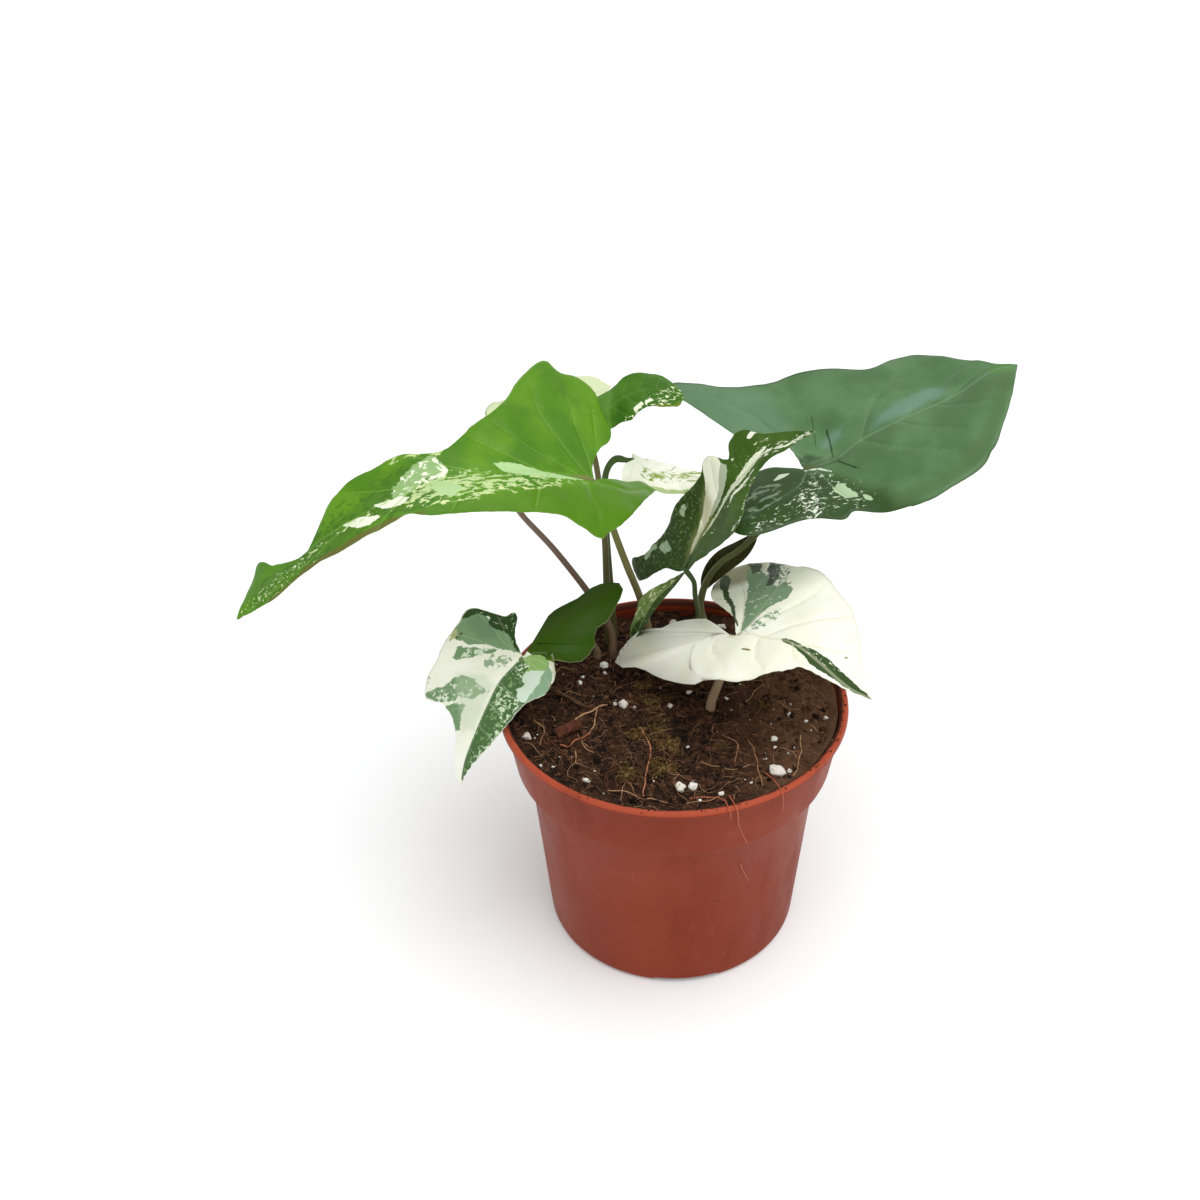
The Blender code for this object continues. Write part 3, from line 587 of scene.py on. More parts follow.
    n = len(mid)
    faces = [list(q) for q in quads] + [[v + n for v in q[::-1]] for q in quads]
    slots = [0] * len(quads) + [1] * len(quads)
    for side, line in enumerate(margins):
        for a, b in zip(line, line[1:]):
            if a == b:
                continue
            f = [a, b, b + n, a + n]
            faces.append(f if side == 0 else f[::-1])
            slots.append(1)
    attributes = {
        "flat": np.column_stack([key, np.zeros(n)]) * 0.1,
        "vein": np.minimum(near, 9.0),
        "rib": np.minimum(rib_dist, 9.0),
        "rim": column,
    }
    for k, mark in enumerate(look.get("marks", ())):
        field = np.full(n, 9.0)
        for side, kind, data, width in mark["areas"]:
            if side == "S":      # across the midrib: left of it positive, right negative
                pick, where = flat[:, 0] > -3, key
            else:
                pick, where = (side_of == "LR".index(side)) | on_rib, flat
            if kind == "poly":
                d = to_polygon(where[pick], data) - width
            else:
                d, at = to_segments(where[pick], data)
                d = d - np.interp(at, np.arange(len(width)), width)
            field[pick] = np.minimum(field[pick], d)
        attributes["mark%d" % k] = np.clip(field, -9, 9)
    attributes = {k: np.concatenate([v, v]) for k, v in attributes.items()}
    top_mat = leaf_material(name + "_top", look, False)
    under_mat = leaf_material(name + "_under", look, True)
    obj = make_object(name + "_blade", np.vstack([top, bottom]), faces, [top_mat, under_mat],
                      slots, attributes)
    bm = bmesh.new()
    bm.from_mesh(obj.data)
    bmesh.ops.recalc_face_normals(bm, faces=bm.faces)
    bm.to_mesh(obj.data)
    bm.free()
    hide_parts(name)
    return obj, blade


def leaf_material(name, look, under):
    s = Shade(name, look.get("rough", 0.42), look.get("gloss", 0.4))
    flat = s.vector("flat")
    broad = s.noise(flat, 0.55, 3.0, 0.5)
    base = s.mix(s.step(broad, 0.35, 0.65), look["light"], look["deep"])
    fine = s.noise(flat, 9.0, 2.0, 0.6)
    base = s.mix(s.step(fine, 0.35, 0.75, 0.0, 0.35), base, look["deep"])
    for k, mark in enumerate(look.get("marks", ())):
        d = s.number("mark%d" % k)
        field = s.scaled(flat, (mark.get("stretch", 1.0), 1.0, 1.0), mark.get("turn", 0.0))
        n = s.noise(field, mark.get("scale", 3.0), mark.get("detail", 5.0), 0.65,
                    mark.get("twist", 0.6))
        if mark["kind"] == "patch":
            x = s.math("MULTIPLY_ADD", n, 2 * mark.get("amp", 1.5), -mark.get("amp", 1.5))
            x = s.math("ADD", d, x)
            soft = mark.get("soft", 0.12)
            fac = s.step(x, soft, -soft)
        else:                # flecks: more of them deeper inside the area
            depth = s.step(d, mark.get("fringe", 2.0), -mark.get("core", 3.0), 0.0,
                           mark.get("dense", 0.16))
            x = s.math("ADD", n, depth)
            lo = mark.get("level", 0.66)
            fac = s.math("MULTIPLY", s.step(x, lo, lo + mark.get("soft", 0.025)),
                         s.step(d, mark.get("fringe", 2.0), mark.get("fringe", 2.0) - 0.8))
        if "strength" in mark:
            fac = s.math("MULTIPLY", fac, mark["strength"])
        base = s.mix(fac, base, mark["colour"])
    line = look.get("vein_line", 0.35)
    vein = s.step(s.number("vein"), line + 0.25, line * 0.3, 0.0, look.get("vein_mix", 0.3))
    rib = s.step(s.number("rib"), 0.75, 0.25, 0.0, look.get("rib_mix", 0.5))
    base = s.mix(vein, base, look["vein"])
    base = s.mix(rib, base, look.get("rib", look["vein"]))
    edge = s.step(s.number("rim"), 0.975, 0.995, 0.0, look.get("edge_mix", 0.4))
    base = s.mix(edge, base, look.get("edge", look["vein"]))
    if under:
        base = s.mix(look.get("under_mix", 0.45), base, look["under"])
        s.rough(0.6)
    s.colour(base)
    grain = s.noise(flat, 12.0, 3.0, 0.6)
    cell = s.cells(flat, 3.6)
    height = s.math("MULTIPLY_ADD", s.step(cell, 0.0, 0.12), 0.6, grain)
    s.bump(height, look.get("grain", 0.12), 0.0003)
    return s.mat


CREAM = lin(244, 245, 222)
WHITE = lin(250, 251, 238)
SAGE = lin(122, 154, 112)
MIST = lin(176, 196, 168)
DEEP = lin(46, 74, 30)


def patch(colour, *areas, **more):
    """Crisp-edged area with a frayed outline."""
    return dict(kind="patch", colour=colour, areas=areas, **more)


def flecks(colour, *areas, **more):
    """Scattered small marks, thicker towards the middle of the area."""
    return dict(kind="flecks", colour=colour, areas=areas, **more)


def poly(side, points, grow=0.0):
    return side, "poly", points, grow


def line(side, points, *widths):
    return side, "line", points, widths if len(widths) == len(points) else \
        [widths[0]] * len(points)


LOOKS = {
    "leaf_lime_left": dict(
        slot="leaf_lime", seed=3, light=lin(98, 150, 26), deep=lin(74, 126, 18),
        vein=lin(134, 178, 74), under=lin(120, 128, 60), gloss=0.2, rough=0.4,
        vein_mix=0.45, rib_mix=0.15, under_mix=0.8, quilt=0.6, swell=0.75, ragged=0.22, grain=0.2,
        lanes=[("R", [(2, 1), (8, 10), (13, 20), (15, 33)]),
               ("R", [(0, 1), (0, 12), (2, 24), (3, 36)]),
               ("R", [(5, 0), (18, 7), (27, 13), (33, 20)]),
               ("R", [(-1, 2), (-6, 16), (-8, 30), (-5, 38)]),
               ("R", [(22, 0), (33, 7), (42, 14)]), ("R", [(42, 0), (52, 4), (60, 10)]),
               ("R", [(64, 0), (75, 5), (84, 11)]), ("R", [(84, 0), (96, 3), (103, 4)]),
               ("L", [(4, 1), (6, 10), (6, 20)]), ("L", [(-2, 2), (-14, 2), (-28, -6)]),
               ("L", [(18, 0), (26, 8), (30, 15)]), ("L", [(40, 0), (50, 6), (56, 11)]),
               ("L", [(64, 0), (74, 4), (80, 7)])],
        marks=[
            patch(lin(80, 126, 6), poly("L", [(-50, -30), (-50, 40), (64, 40), (56, 9),
                                               (34, 8), (10, 5), (0, 2)], -1.0),
                  amp=2.0, scale=1.0, soft=3.0, strength=0.8),
            patch(lin(64, 118, 20), poly("R", [(6, 6), (12, 16), (16, 30), (10, 40), (5, 30),
                                               (3, 16)], 0.0),
                  amp=2.0, scale=1.2, soft=3.0, strength=0.5),
            patch(lin(72, 112, 34), poly("S", [(54, 7), (70, 7), (84, 5), (104, 4), (128, 3), (128, -7),
                                               (104, -5), (84, -4), (66, -7), (54, -9)], -0.5),
                  amp=3.0, scale=1.6, soft=2.5, strength=0.6),
            flecks(lin(60, 104, 26), poly("S", [(60, 9), (104, 5), (128, 3), (128, -6), (60, -8)],
                                          0.0),
                   scale=6.0, stretch=0.5, level=0.56, dense=0.04, fringe=1.5, core=2.0,
                   strength=0.6),
            flecks(lin(202, 222, 166), poly("S", [(98, 3), (128, 2), (134, -1), (126, -5),
                                                  (104, -4)], 0.0),
                   scale=10.0, stretch=0.8, level=0.63, dense=0.05, fringe=1.0, core=2.0),
            flecks(lin(192, 214, 150), poly("S", [(58, -3), (43, 0), (31, 3), (15, 3), (5, 2),
                                                  (20, 6), (35, 8), (48, 9), (61, 7), (70, 3),
                                                  (68, -2)]),
                   scale=8.0, stretch=0.34, level=0.585, dense=0.11, fringe=2.0, core=3.0,
                   soft=0.03),
            flecks(lin(214, 226, 160), line("S", [(73, 3), (68, 5), (59, 8), (50, 9), (40, 8),
                                                  (30, 8), (18, 6)], 1.2),
                   scale=9.0, stretch=0.34, level=0.63, dense=0.10, fringe=0.9, core=1.2,
                   soft=0.03),
            patch(lin(178, 212, 148), poly("S", [(38, -3), (32, -3), (22, 0), (12, 1.5), (6, 2),
                                                 (15, 3.6), (27, 2.6), (34, 0.4)], 0.2),
                  amp=0.9, scale=4.0),
            patch(lin(176, 208, 146), poly("S", [(60, 2), (58, 0), (54, 2), (51, 5), (55, 7),
                                                 (58, 5)], 0.3), amp=1.2, scale=4.5),
            patch(lin(150, 186, 122), poly("S", [(56, -9), (53, -3), (56, -1), (60, -2), (66, 1),
                                                 (72, 3), (70, -3), (63, -6)], 0.2),
                  amp=1.8, scale=4.0, strength=0.9),
            patch(lin(236, 241, 214), line("S", [(56, -8), (54, -5), (53.4, -3), (55, -1.4),
                                                 (58, -1.4)], 0.3, 0.6, 0.8, 0.7, 0.2),
                  amp=0.9, scale=5.0),
            flecks(lin(240, 244, 220), poly("S", [(56, -9), (53, -3), (58, -1), (66, 1), (72, 2),
                                                  (70, -3), (63, -6)], 0.4),
                   scale=6.0, stretch=0.6, level=0.585, dense=0.04, fringe=0.6, core=2.0),
            patch(lin(240, 244, 222), poly("S", [(78, -1), (73, 0.5), (69, 1), (67, 3), (70, 4),
                                                 (75, 2.6)], 0.1),
                  poly("S", [(89, -1.4), (83, 0), (77, 4), (81, 4.6), (85, 3)], 0.0),
                  amp=0.9, scale=4.0),
            flecks(lin(200, 220, 160), line("S", [(74, 1), (84, 1), (98, -1), (107, -2),
                                                  (116, -3), (128, -3)],
                                            2.0, 1.6, 1.2, 1.3, 1.2, 0.5),
                   scale=9.0, stretch=0.4, level=0.64, dense=0.10, fringe=0.8, core=1.5,
                   soft=0.03),
            
            patch(lin(106, 102, 50), line("L", [(64, 9.6), (76, 7.8), (92, 5.8), (106, 2), (122, 2)],
                                          0.3, 1.2, 1.4, 1.2, 0.5),
                  amp=0.5, scale=2.0, soft=0.5, strength=0.9),
            flecks(lin(190, 212, 140), line("S", [(67, -12), (60, -11), (53, -9.5)], 1.0),
                   scale=8.0, stretch=0.4, level=0.58, dense=0.1, fringe=0.8, core=1.0)]),
    "leaf_dark_right": dict(
        slot="leaf_dark", seed=7, light=lin(92, 129, 84), deep=lin(74, 111, 66), quilt=0.45, swell=0.5,
        vein=lin(120, 154, 116), under=lin(150, 158, 112), gloss=0.34, rough=0.38, ragged=0.15,
        vein_mix=0.4, rib_mix=0.4, edge=lin(60, 88, 44), edge_mix=0.5, under_mix=0.6,
        lanes=[("L", [(22, 0), (34, 13), (50, 23)]),
               ("L", [(38, 0), (53, 6), (67, 10)]), ("L", [(54, 0), (66, 3), (75, 4)]),
               ("L", [(2, 4), (-2, 18), (-8, 34), (-16, 48)]),
               ("R", [(22, 0), (28, 10), (38, 20), (46, 27)]),
               ("R", [(36, 0), (42, 9), (52, 18)]), ("R", [(50, 0), (58, 7), (66, 13)]),
               ("R", [(0, 2), (-6, 8), (-18, 12), (-28, 14)]),
               ("R", [(1, 3), (0, 12), (-6, 20)]), ("R", [(3, 2), (5, 14), (8, 24)])],
        marks=[
            patch(lin(104, 139, 106), poly("L", [(2, 8), (4, 40), (-14, 56), (-28, 62), (-28, 44),
                                                 (-16, 22), (-4, 12)], 0.0),
                  amp=3.0, scale=1.2, soft=4.0, strength=0.55),
            patch(lin(44, 72, 22), poly("R", [(-48, -16), (-48, 34), (8, 36), (22, 42),
                                              (16, 24), (8, 10), (0, 0), (-12, -12)], 0.0),
                  amp=3.0, scale=1.2, soft=3.5, strength=0.95),
            # painted sheen: bluish-grey highlight patches above the midrib and near the base
            patch(lin(120, 152, 140), poly("L", [(27, 2), (33, 7), (42, 9), (52, 10), (58, 7),
                                                 (58, 2), (42, 1)], -0.6),
                  poly("L", [(9, 9), (16, 11), (20, 9), (19, 6), (15, 6), (10, 6)], -0.4),
                  amp=2.4, scale=2.6, soft=1.6, strength=0.5, stretch=0.4),
            patch(lin(76, 110, 54), line("R", [(77, 6), (64, 19), (52, 29), (42, 34), (32, 35),
                                               (18, 32)], 2.2),
                  amp=1.2, scale=1.5, soft=1.8, strength=0.5),
            patch(lin(72, 128, 38), poly("S", [(74, 2), (79, 3), (82, 0), (79, -3), (74, -2)],
                                         0.8), amp=0.8, scale=3.0, soft=0.8, strength=0.7),
            patch(lin(38, 62, 22), line("S", [(-2, 5), (3, 4), (8, 2)], 0.5, 2.0, 0.4),
                  line("S", [(0, 1), (5, 0), (12, -0.5)], 1.3),
                  amp=1.0, scale=2.0, soft=1.2, strength=0.7),
            flecks(lin(206, 222, 190), poly("R", [(-34, 18), (-30, 21), (-21, 22), (-9, 24),
                                                  (5, 26), (13, 28), (14, 25), (12, 16),
                                                  (8, 5), (1, 2), (-5, 6), (-10, 12),
                                                  (-17, 15), (-24, 17)], 0.5),
                   scale=8.0, stretch=0.6, level=0.655, dense=0.075, fringe=1.5, core=4.0,
                   soft=0.03, turn=0.5),
            flecks(lin(232, 238, 222), poly("R", [(-9, 11), (-5, 13), (-2, 18), (-3, 24),
                                                  (-8, 24), (-9, 18)], 0.5),
                   line("R", [(-27, 20), (-21, 21), (-15, 20.5)], 1.2),
                   line("R", [(-11, 21), (-5, 22.5)], 0.8),
                   scale=7.0, stretch=0.6, level=0.60, dense=0.09, fringe=1.0, core=2.0,
                   soft=0.03, turn=0.5),
            patch(lin(178, 202, 160), poly("R", [(4, 13), (8, 13), (9, 16), (10, 21), (9, 22),
                                                 (6, 20), (4, 17)], -0.2),
                  line("R", [(11, 22), (11.5, 24.5)], 0.7), amp=1.8, scale=4.0),
            patch(lin(214, 226, 204), line("R", [(-11, 1), (-8.5, 0), (-6, 0)], 0.6, 1.2, 0.5),
                  line("R", [(0, 1), (4, 2), (7, 6)], 0.5), amp=0.8, scale=4.0),
            # painted sheen: thin pale grey-green highlight streaks across the front lobe
            patch(lin(150, 172, 150), line("R", [(-24, 7), (-20, 5.5), (-15, 5)], 0.3, 1.0, 0.3),
                  line("R", [(-22, 10), (-16, 9), (-11, 8)], 0.2, 0.7, 0.2),
                  line("R", [(-26, 12), (-21, 13), (-16, 12)], 0.2, 0.7, 0.2),
                  line("R", [(-18, 3), (-14, 3), (-11, 4)], 0.2, 0.6, 0.2),
                  amp=1.4, scale=5.0, strength=0.7),
            flecks(lin(140, 166, 134), poly("R", [(-30, 14), (-24, 6), (-14, 1), (-8, 6),
                                                  (-14, 12), (-26, 17)], 0.0),
                   scale=4.5, stretch=0.4, level=0.60, dense=0.04, fringe=1.0, core=2.0,
                   strength=0.6, turn=0.4)]),
    "leaf_hump_back": dict(
        slot="leaf_lime", seed=12, light=lin(74, 122, 26), deep=lin(56, 102, 14),
        vein=lin(122, 160, 80), under=lin(120, 130, 60), gap=0.5, across=18, gloss=0.12,
        rough=0.45, vein_mix=0.12, rib_mix=0.12,
        marks=[
            patch(lin(92, 140, 52), poly("S", [(-4, -12), (-4, 16), (12, 16), (13, 5), (10, 0),
                                               (7, -4), (5, -12)], 0.0),
                  amp=0.5, scale=1.5, soft=0.5, strength=0.7),
            # painted shade: darker lower side of the arching blade near its base
            patch(lin(40, 92, 8), poly("S", [(9, -4), (13, -1), (12, -10), (7, -11)], 0.0),
                  amp=1.5, scale=1.5, soft=1.8, strength=0.7),
            patch(lin(112, 128, 34), line("R", [(22, 7.4), (26, 7.4), (33, 7), (37, 3)],
                                          0.2, 1.0, 1.0, 0.5), amp=0.5, scale=3.0, soft=0.5),
            flecks(lin(226, 236, 190), poly("S", [(7, -8), (13, -6), (20, -4), (26, -1), (30, 2),
                                                  (34, 5), (38, 6), (39, 0), (37, -5),
                                                  (31, -7), (23, -9), (16, -10), (9, -9.5)],
                                            0.2),
                   scale=9.5, stretch=0.55, level=0.63, dense=0.085, fringe=0.8, core=2.0,
                   soft=0.03),
            patch(lin(238, 242, 216), line("R", [(8, 8), (9, 9.2)], 1.0),
                  line("R", [(17, 6), (20, 5)], 0.8), line("R", [(22, 5), (24, 4)], 0.6),
                  amp=1.0, scale=5.0)]),
    "leaf_pale_back": dict(
        slot="leaf_cream", seed=17, light=lin(232, 238, 204), deep=lin(214, 226, 184),
        vein=lin(222, 228, 194), under=lin(200, 208, 164), gap=0.7, across=18, gloss=0.3,
        marks=[
            patch(lin(214, 226, 180), poly("S", [(36, 14), (42, 12), (50, 6), (52, -2), (47, -8),
                                                 (43, -2), (40, 6)], 0.4),
                  poly("L", [(14, 27), (24, 27), (23, 19), (20, 16), (15, 20)], 0.3),
                  amp=2.2, scale=3.0),
            flecks(lin(146, 180, 106), poly("S", [(0, -14), (0, 28), (52, 10), (52, -8)]),
                   scale=5.0, level=0.64, dense=0.02, fringe=1.0, core=2.0)]),
    "leaf_white_middle": dict(
        slot="leaf_cream", seed=21, light=WHITE, deep=lin(244, 246, 228),
        vein=lin(232, 234, 208), under=CREAM, gap=0.4, across=18, gloss=0.15, swell=0.5,
        marks=[
            patch(lin(122, 168, 34), line("S", [(8, -8), (11, -7), (15, -6.6), (21, -6.4),
                                                (26, -4.4)], 1.0, 2.0, 1.8, 1.8, 0.6),
                  amp=0.9, scale=4.0, soft=0.3),
            patch(lin(150, 170, 92), line("S", [(8, -2), (12, -1), (14, 0)], 0.3, 0.7, 0.1),
                  line("S", [(15, 1), (18, 2.4), (21, 3.4)], 0.1, 0.5, 0.2),
                  amp=1.4, scale=6.0, strength=0.8),
            flecks(lin(140, 164, 66), line("S", [(6, -2), (12, 0), (18, 1), (25, 2)], 2.4),
                   scale=7.0, stretch=0.4, level=0.575, dense=0.06, fringe=0.8, core=1.8),
            patch(lin(220, 222, 190), poly("S", [(-6, -14), (30, -10), (30, -4.6), (6, -5)], 0),
                  amp=1.0, scale=2.0, soft=2.0, strength=0.6)]),
    "leaf_variegated_middle": dict(
        slot="leaf_variegated", seed=26, light=lin(70, 102, 34), deep=lin(52, 80, 20),
        vein=lin(96, 124, 74), under=lin(120, 140, 90), gap=0.5, across=26, gloss=0.12,
        rough=0.42, vein_mix=0.18, rib_mix=0.3, edge=lin(96, 120, 66),
        marks=[
            patch(lin(34, 54, 12), poly("L", [(-24, 4), (-24, 30), (-8, 30), (30, 22), (30, 13),
                                              (22, 8), (10, 2), (0, 1)], 0.0),
                  amp=2.0, scale=1.5, soft=2.5, strength=0.7),
            patch(CREAM, poly("S", [(3, 0), (9, -0.2), (15, 1.0), (23, 2.6), (31, 4.2), (34, 7.3),
                                    (37, 10.2), (37, 14), (35, 20), (32, 17), (30, 13.4),
                                    (26, 8.6), (19, 5), (13, 2), (7, 0.8)], 0.1),
                  amp=0.7, scale=4.0),
            # painted shade: grey band along the right edge of the cream sector
            patch(lin(186, 196, 168), poly("S", [(20, 2), (25, 3), (31, 4.4), (34, 7.3),
                                                 (37, 10.2), (38.4, 8), (36, 4), (31, 2),
                                                 (24, 1.2)], 0.0),
                  amp=0.8, scale=3.5, strength=0.9),
            # painted shade: khaki tint where the cream sector narrows towards the base
            patch(lin(150, 148, 96), poly("S", [(0, 0), (10, -1), (18, 0), (25, 3), (28, 10),
                                                (22, 8), (16, 3), (8, 2)], 0.0),
                  amp=1.4, scale=2.0, soft=2.4, strength=0.65),
            patch(lin(232, 236, 208), line("S", [(14, -0.4), (24, -0.4), (33, -0.6), (40, 0),
                                                 (47, 1), (52, 2)],
                                           0.3, 0.8, 1.1, 1.5, 1.3, 0.4),
                  amp=1.0, scale=5.0),
            patch(lin(158, 182, 146), poly("L", [(-2, 15), (2, 13), (1, 10), (-2, 12)], 0.4),
                  poly("L", [(12, 14), (15, 15), (16, 13), (13, 11)], 0.0),
                  line("L", [(-10, 20), (-5, 18.6), (-3, 17)], 0.8),
                  amp=1.2, scale=4.0),
            patch(lin(236, 240, 220), line("L", [(50, 9), (52, 9.6), (57, 6.6)], 0.9, 0.9, 0.2),
                  line("S", [(30, -6), (35, -4), (39, -4), (45, -3)], 0.2, 0.7, 0.7, 0.2),
                  amp=1.0, scale=5.0),
            flecks(lin(206, 218, 180), poly("S", [(12, -8), (24, -7), (34, -8), (42, -6),
                                                  (56, -3), (69, 0), (58, 4), (48, 8),
                                                  (40, 8), (38, 0), (22, -1)], 0.3),
                   scale=8.5, stretch=0.34, level=0.665, dense=0.06, fringe=1.2, core=3.0),
            flecks(lin(232, 238, 214), line("S", [(50, 0), (56, 0), (62, 0), (69, 0)],
                                            1.8, 1.6, 1.2, 0.8),
                   line("R", [(30, 18), (36, 19)], 1.2), line("R", [(37, 15), (43, 7)], 1.0),
                   scale=8.5, stretch=0.42, level=0.58, dense=0.09, fringe=0.8, core=1.4),
            flecks(lin(120, 146, 92), poly("L", [(-24, 6), (-24, 28), (30, 20), (22, 9),
                                                 (8, 3)], 0.0),
                   scale=8.0, level=0.59, dense=0.03, fringe=1.0, core=2.0, strength=0.6)]),
    "leaf_cream_front": dict(
        slot="leaf_cream", seed=31, light=WHITE, deep=lin(243, 245, 222),
        vein=lin(208, 211, 172), under=lin(214, 206, 176), gloss=0.15, rough=0.42,
        vein_mix=0.6, rib_mix=0.35, quilt=0.46, keel=0.35, edge=lin(226, 228, 200),
        lanes=[("R", [(1, 0.5), (-6, 1), (-9, 3), (-5, 8), (2, 12), (9, 16)]),
               ("R", [(0, 1), (-14, 1.6), (-22, 6), (-23, 13), (-18, 18)]),
               ("R", [(13, 0.5), (14, 4), (17, 9), (22, 12)]),
               ("R", [(-1, 0), (-24, 0), (-38, 4), (-46, 11)]),
               ("R", [(26, 0), (30, 4), (34, 5)]),
               ("L", [(1, 1), (-8, 12), (-20, 24), (-32, 32)]),
               ("L", [(2, 1), (0, 14), (-4, 28), (-10, 38)]),
               ("L", [(5, 0), (10, 12), (13, 24), (12, 33)]),
               ("L", [(14, 0), (22, 10), (28, 20), (30, 26)]),
               ("L", [(28, 0), (36, 7), (43, 14)])],
        marks=[
            # painted shadow: khaki-grey patch on the back lobe, where the leaf above shades it
            patch(lin(132, 130, 86), poly("L", [(-41, 24), (-41, 42), (-26, 42), (-23, 36),
                                                (-25, 30), (-32, 26)], 0.8),
                  amp=1.4, scale=1.6, soft=3.0, strength=0.85),
            patch(lin(118, 150, 112), poly("L", [(-31, 36), (-21, 28), (-14, 20), (-5, 9),
                                                 (2, 0.5), (2, 5), (2, 10), (4, 15), (7, 19),
                                                 (6, 23), (3, 27), (-2, 29), (-3, 27),
                                                 (-7, 28), (-12, 32), (-17, 34), (-22, 36),
                                                 (-27, 38)], 0.2),
                  amp=2.0, scale=3.0, detail=6.0),
            flecks(lin(208, 220, 190), poly("L", [(-24, 36), (-18, 25), (-10, 15), (-2, 8),
                                                  (5, 16), (5, 24), (-2, 28), (-12, 32)],
                                            -0.3),
                   scale=5.0, stretch=0.6, level=0.63, dense=0.04, fringe=0.8, core=2.5,
                   turn=0.8),
            flecks(lin(80, 112, 68), poly("L", [(-24, 34), (-10, 16), (4, 14), (6, 22),
                                                (-2, 28), (-14, 32)], 0.0),
                   scale=6.0, level=0.65, dense=0.03, fringe=0.8, core=2.5, strength=0.7),
            patch(lin(56, 76, 36), poly("L", [(-36, 40), (-30, 38), (-25, 34), (-23, 36),
                                              (-26, 40), (-32, 44)], 0.3),
                  poly("L", [(-38, 28), (-39, 31.5), (-35, 31), (-31, 27), (-30, 23),
                             (-35, 25)], 0.2),
                  line("L", [(-31, 24), (-25, 20), (-18, 16), (-11, 10), (-4, 5)],
                       1.0, 0.9, 0.8, 0.5, 0.2),
                  line("L", [(-29, 18.5), (-25.5, 20)], 0.5),
                  amp=1.2, scale=4.5),
            patch(lin(40, 60, 30), poly("L", [(-23, 42), (-17, 42), (-9, 33), (-7, 28),
                                              (-11, 28), (-15, 34), (-20, 37)], 0.1),
                  amp=1.6, scale=4.5),
            flecks(lin(204, 214, 186), poly("L", [(-23, 42), (-17, 42), (-8, 32), (-8, 28),
                                                  (-15, 33), (-21, 37)], 0.0),
                   scale=9.0, level=0.62, dense=0.03, fringe=0.5, core=2.0),
            flecks(lin(108, 134, 100), poly("L", [(-17, 42), (-12, 41), (-6, 35), (3, 27),
                                                (-1, 27), (-9, 31)], 0.4),
                   scale=5.5, level=0.54, dense=0.05, fringe=0.8, core=2.0),
            flecks(lin(140, 166, 132), poly("L", [(3, 1), (5, 7), (6, 12), (9, 14), (11, 8),
                                                  (9, 2)], 0.4),
                   scale=5.0, level=0.55, dense=0.05, fringe=0.8, core=2.0, stretch=0.6),
            patch(lin(50, 76, 32), poly("S", [(21, 0.4), (29, 1), (33, 2), (38, 3), (43, 3),
                                              (49, 2.8), (58, 0), (50, -0.4), (44, -0.6),
                                              (38, -2.2), (35, -2.2), (32, -1.6), (28, -1),
                                              (23, -0.6)], 0.2),
                  amp=0.9, scale=4.0),
            flecks(lin(222, 230, 200), poly("S", [(29, 1), (33, 2.4), (39, 3.4), (46, 3.2),
                                                  (44, 1.5), (36, 0.4), (30, -0.6)], 0.2),
                   scale=8.0, stretch=0.6, level=0.61, dense=0.04, fringe=0.5, core=1.2),
            patch(lin(130, 120, 70), line("R", [(10, 7), (13, 6.4)], 0.35),
                  line("R", [(-32, 11), (-31.8, 11.3)], 0.45),
                  line("L", [(42, 9), (42.2, 9.3)], 0.45),
                  line("R", [(-36, 8), (-35.8, 8.3)], 0.3), amp=0.3, scale=6.0),
            flecks(lin(150, 130, 84), line("R", [(-44, 21.5), (-48, 18), (-48, 11), (-42, 4)],
                                           0.9),
                   scale=9.0, level=0.58, dense=0.06, fringe=0.6, core=0.8, strength=0.7)]),
    "leaf_variegated_front": dict(
        slot="leaf_variegated", seed=36, light=WHITE, deep=lin(240, 243, 222),
        vein=lin(222, 228, 200), under=lin(214, 216, 182), gap=0.5, across=30, gloss=0.12,
        rough=0.42, vein_mix=0.12, rib_mix=0.12, edge=lin(236, 238, 214), edge_mix=0.8,
        marks=[
            patch(lin(52, 82, 8), poly("L", [(-2.2, -4), (-2.4, 2), (-3.2, 6), (-4.3, 9), (-8, 22),
                                              (-20, 20), (-32, 20), (-50, 14), (-48, 0),
                                              (-36, -6), (-22, -9), (-10, -6)], 0.0),
                  amp=0.3, scale=3.0),
            patch(lin(42, 68, 6), poly("L", [(-14, 2), (-22, 8), (-34, 12), (-44, 14),
                                              (-40, 4), (-28, -2), (-16, -4)], 0.0),
                  amp=3.0, scale=1.0, soft=4.0, strength=0.6),
            patch(lin(128, 132, 40), poly("L", [(-4.6, 8), (-6, 9), (-7, 11), (-8, 16),
                                                (-12, 20), (0, 14)], 0.0),
                  amp=0.5, scale=2.0, soft=0.8, strength=0.4),
            patch(SAGE, poly("R", [(3, 29), (-1, 27), (-5, 26), (-4, 20), (-5, 14), (-5, 10),
                                   (-3, 6), (-1, 1), (2, 9), (4, 15), (6, 18), (7, 23),
                                   (7, 26)], 0.3), amp=1.2, scale=4.0),
            patch(lin(100, 132, 96), poly("R", [(-4, 24), (-4, 16), (0, 12), (3, 16), (3, 22),
                                                (0, 26)], 0.0),
                  amp=2.0, scale=2.0, soft=1.0, strength=0.5),
            patch(DEEP, poly("R", [(3, 32), (-4, 32), (-9, 26), (-11, 20), (-14, 16), (-15, 11),
                                   (-5, 6.5), (-3, 7), (-4, 11), (-3, 15), (-2, 18), (-5, 20),
                                   (-3, 25), (0, 26)], 0.0),
                  line("R", [(-12, 13), (-5, 9), (-1, 3)], 1.6, 1.6, 0.5),
                  amp=1.5, scale=4.0),
            flecks(lin(190, 208, 170), poly("R", [(-4, 24), (-9, 20), (-12, 14), (-6, 8),
                                                  (-3, 13)], 0.2),
                   scale=6.0, level=0.62, dense=0.03, fringe=0.5, core=1.5),
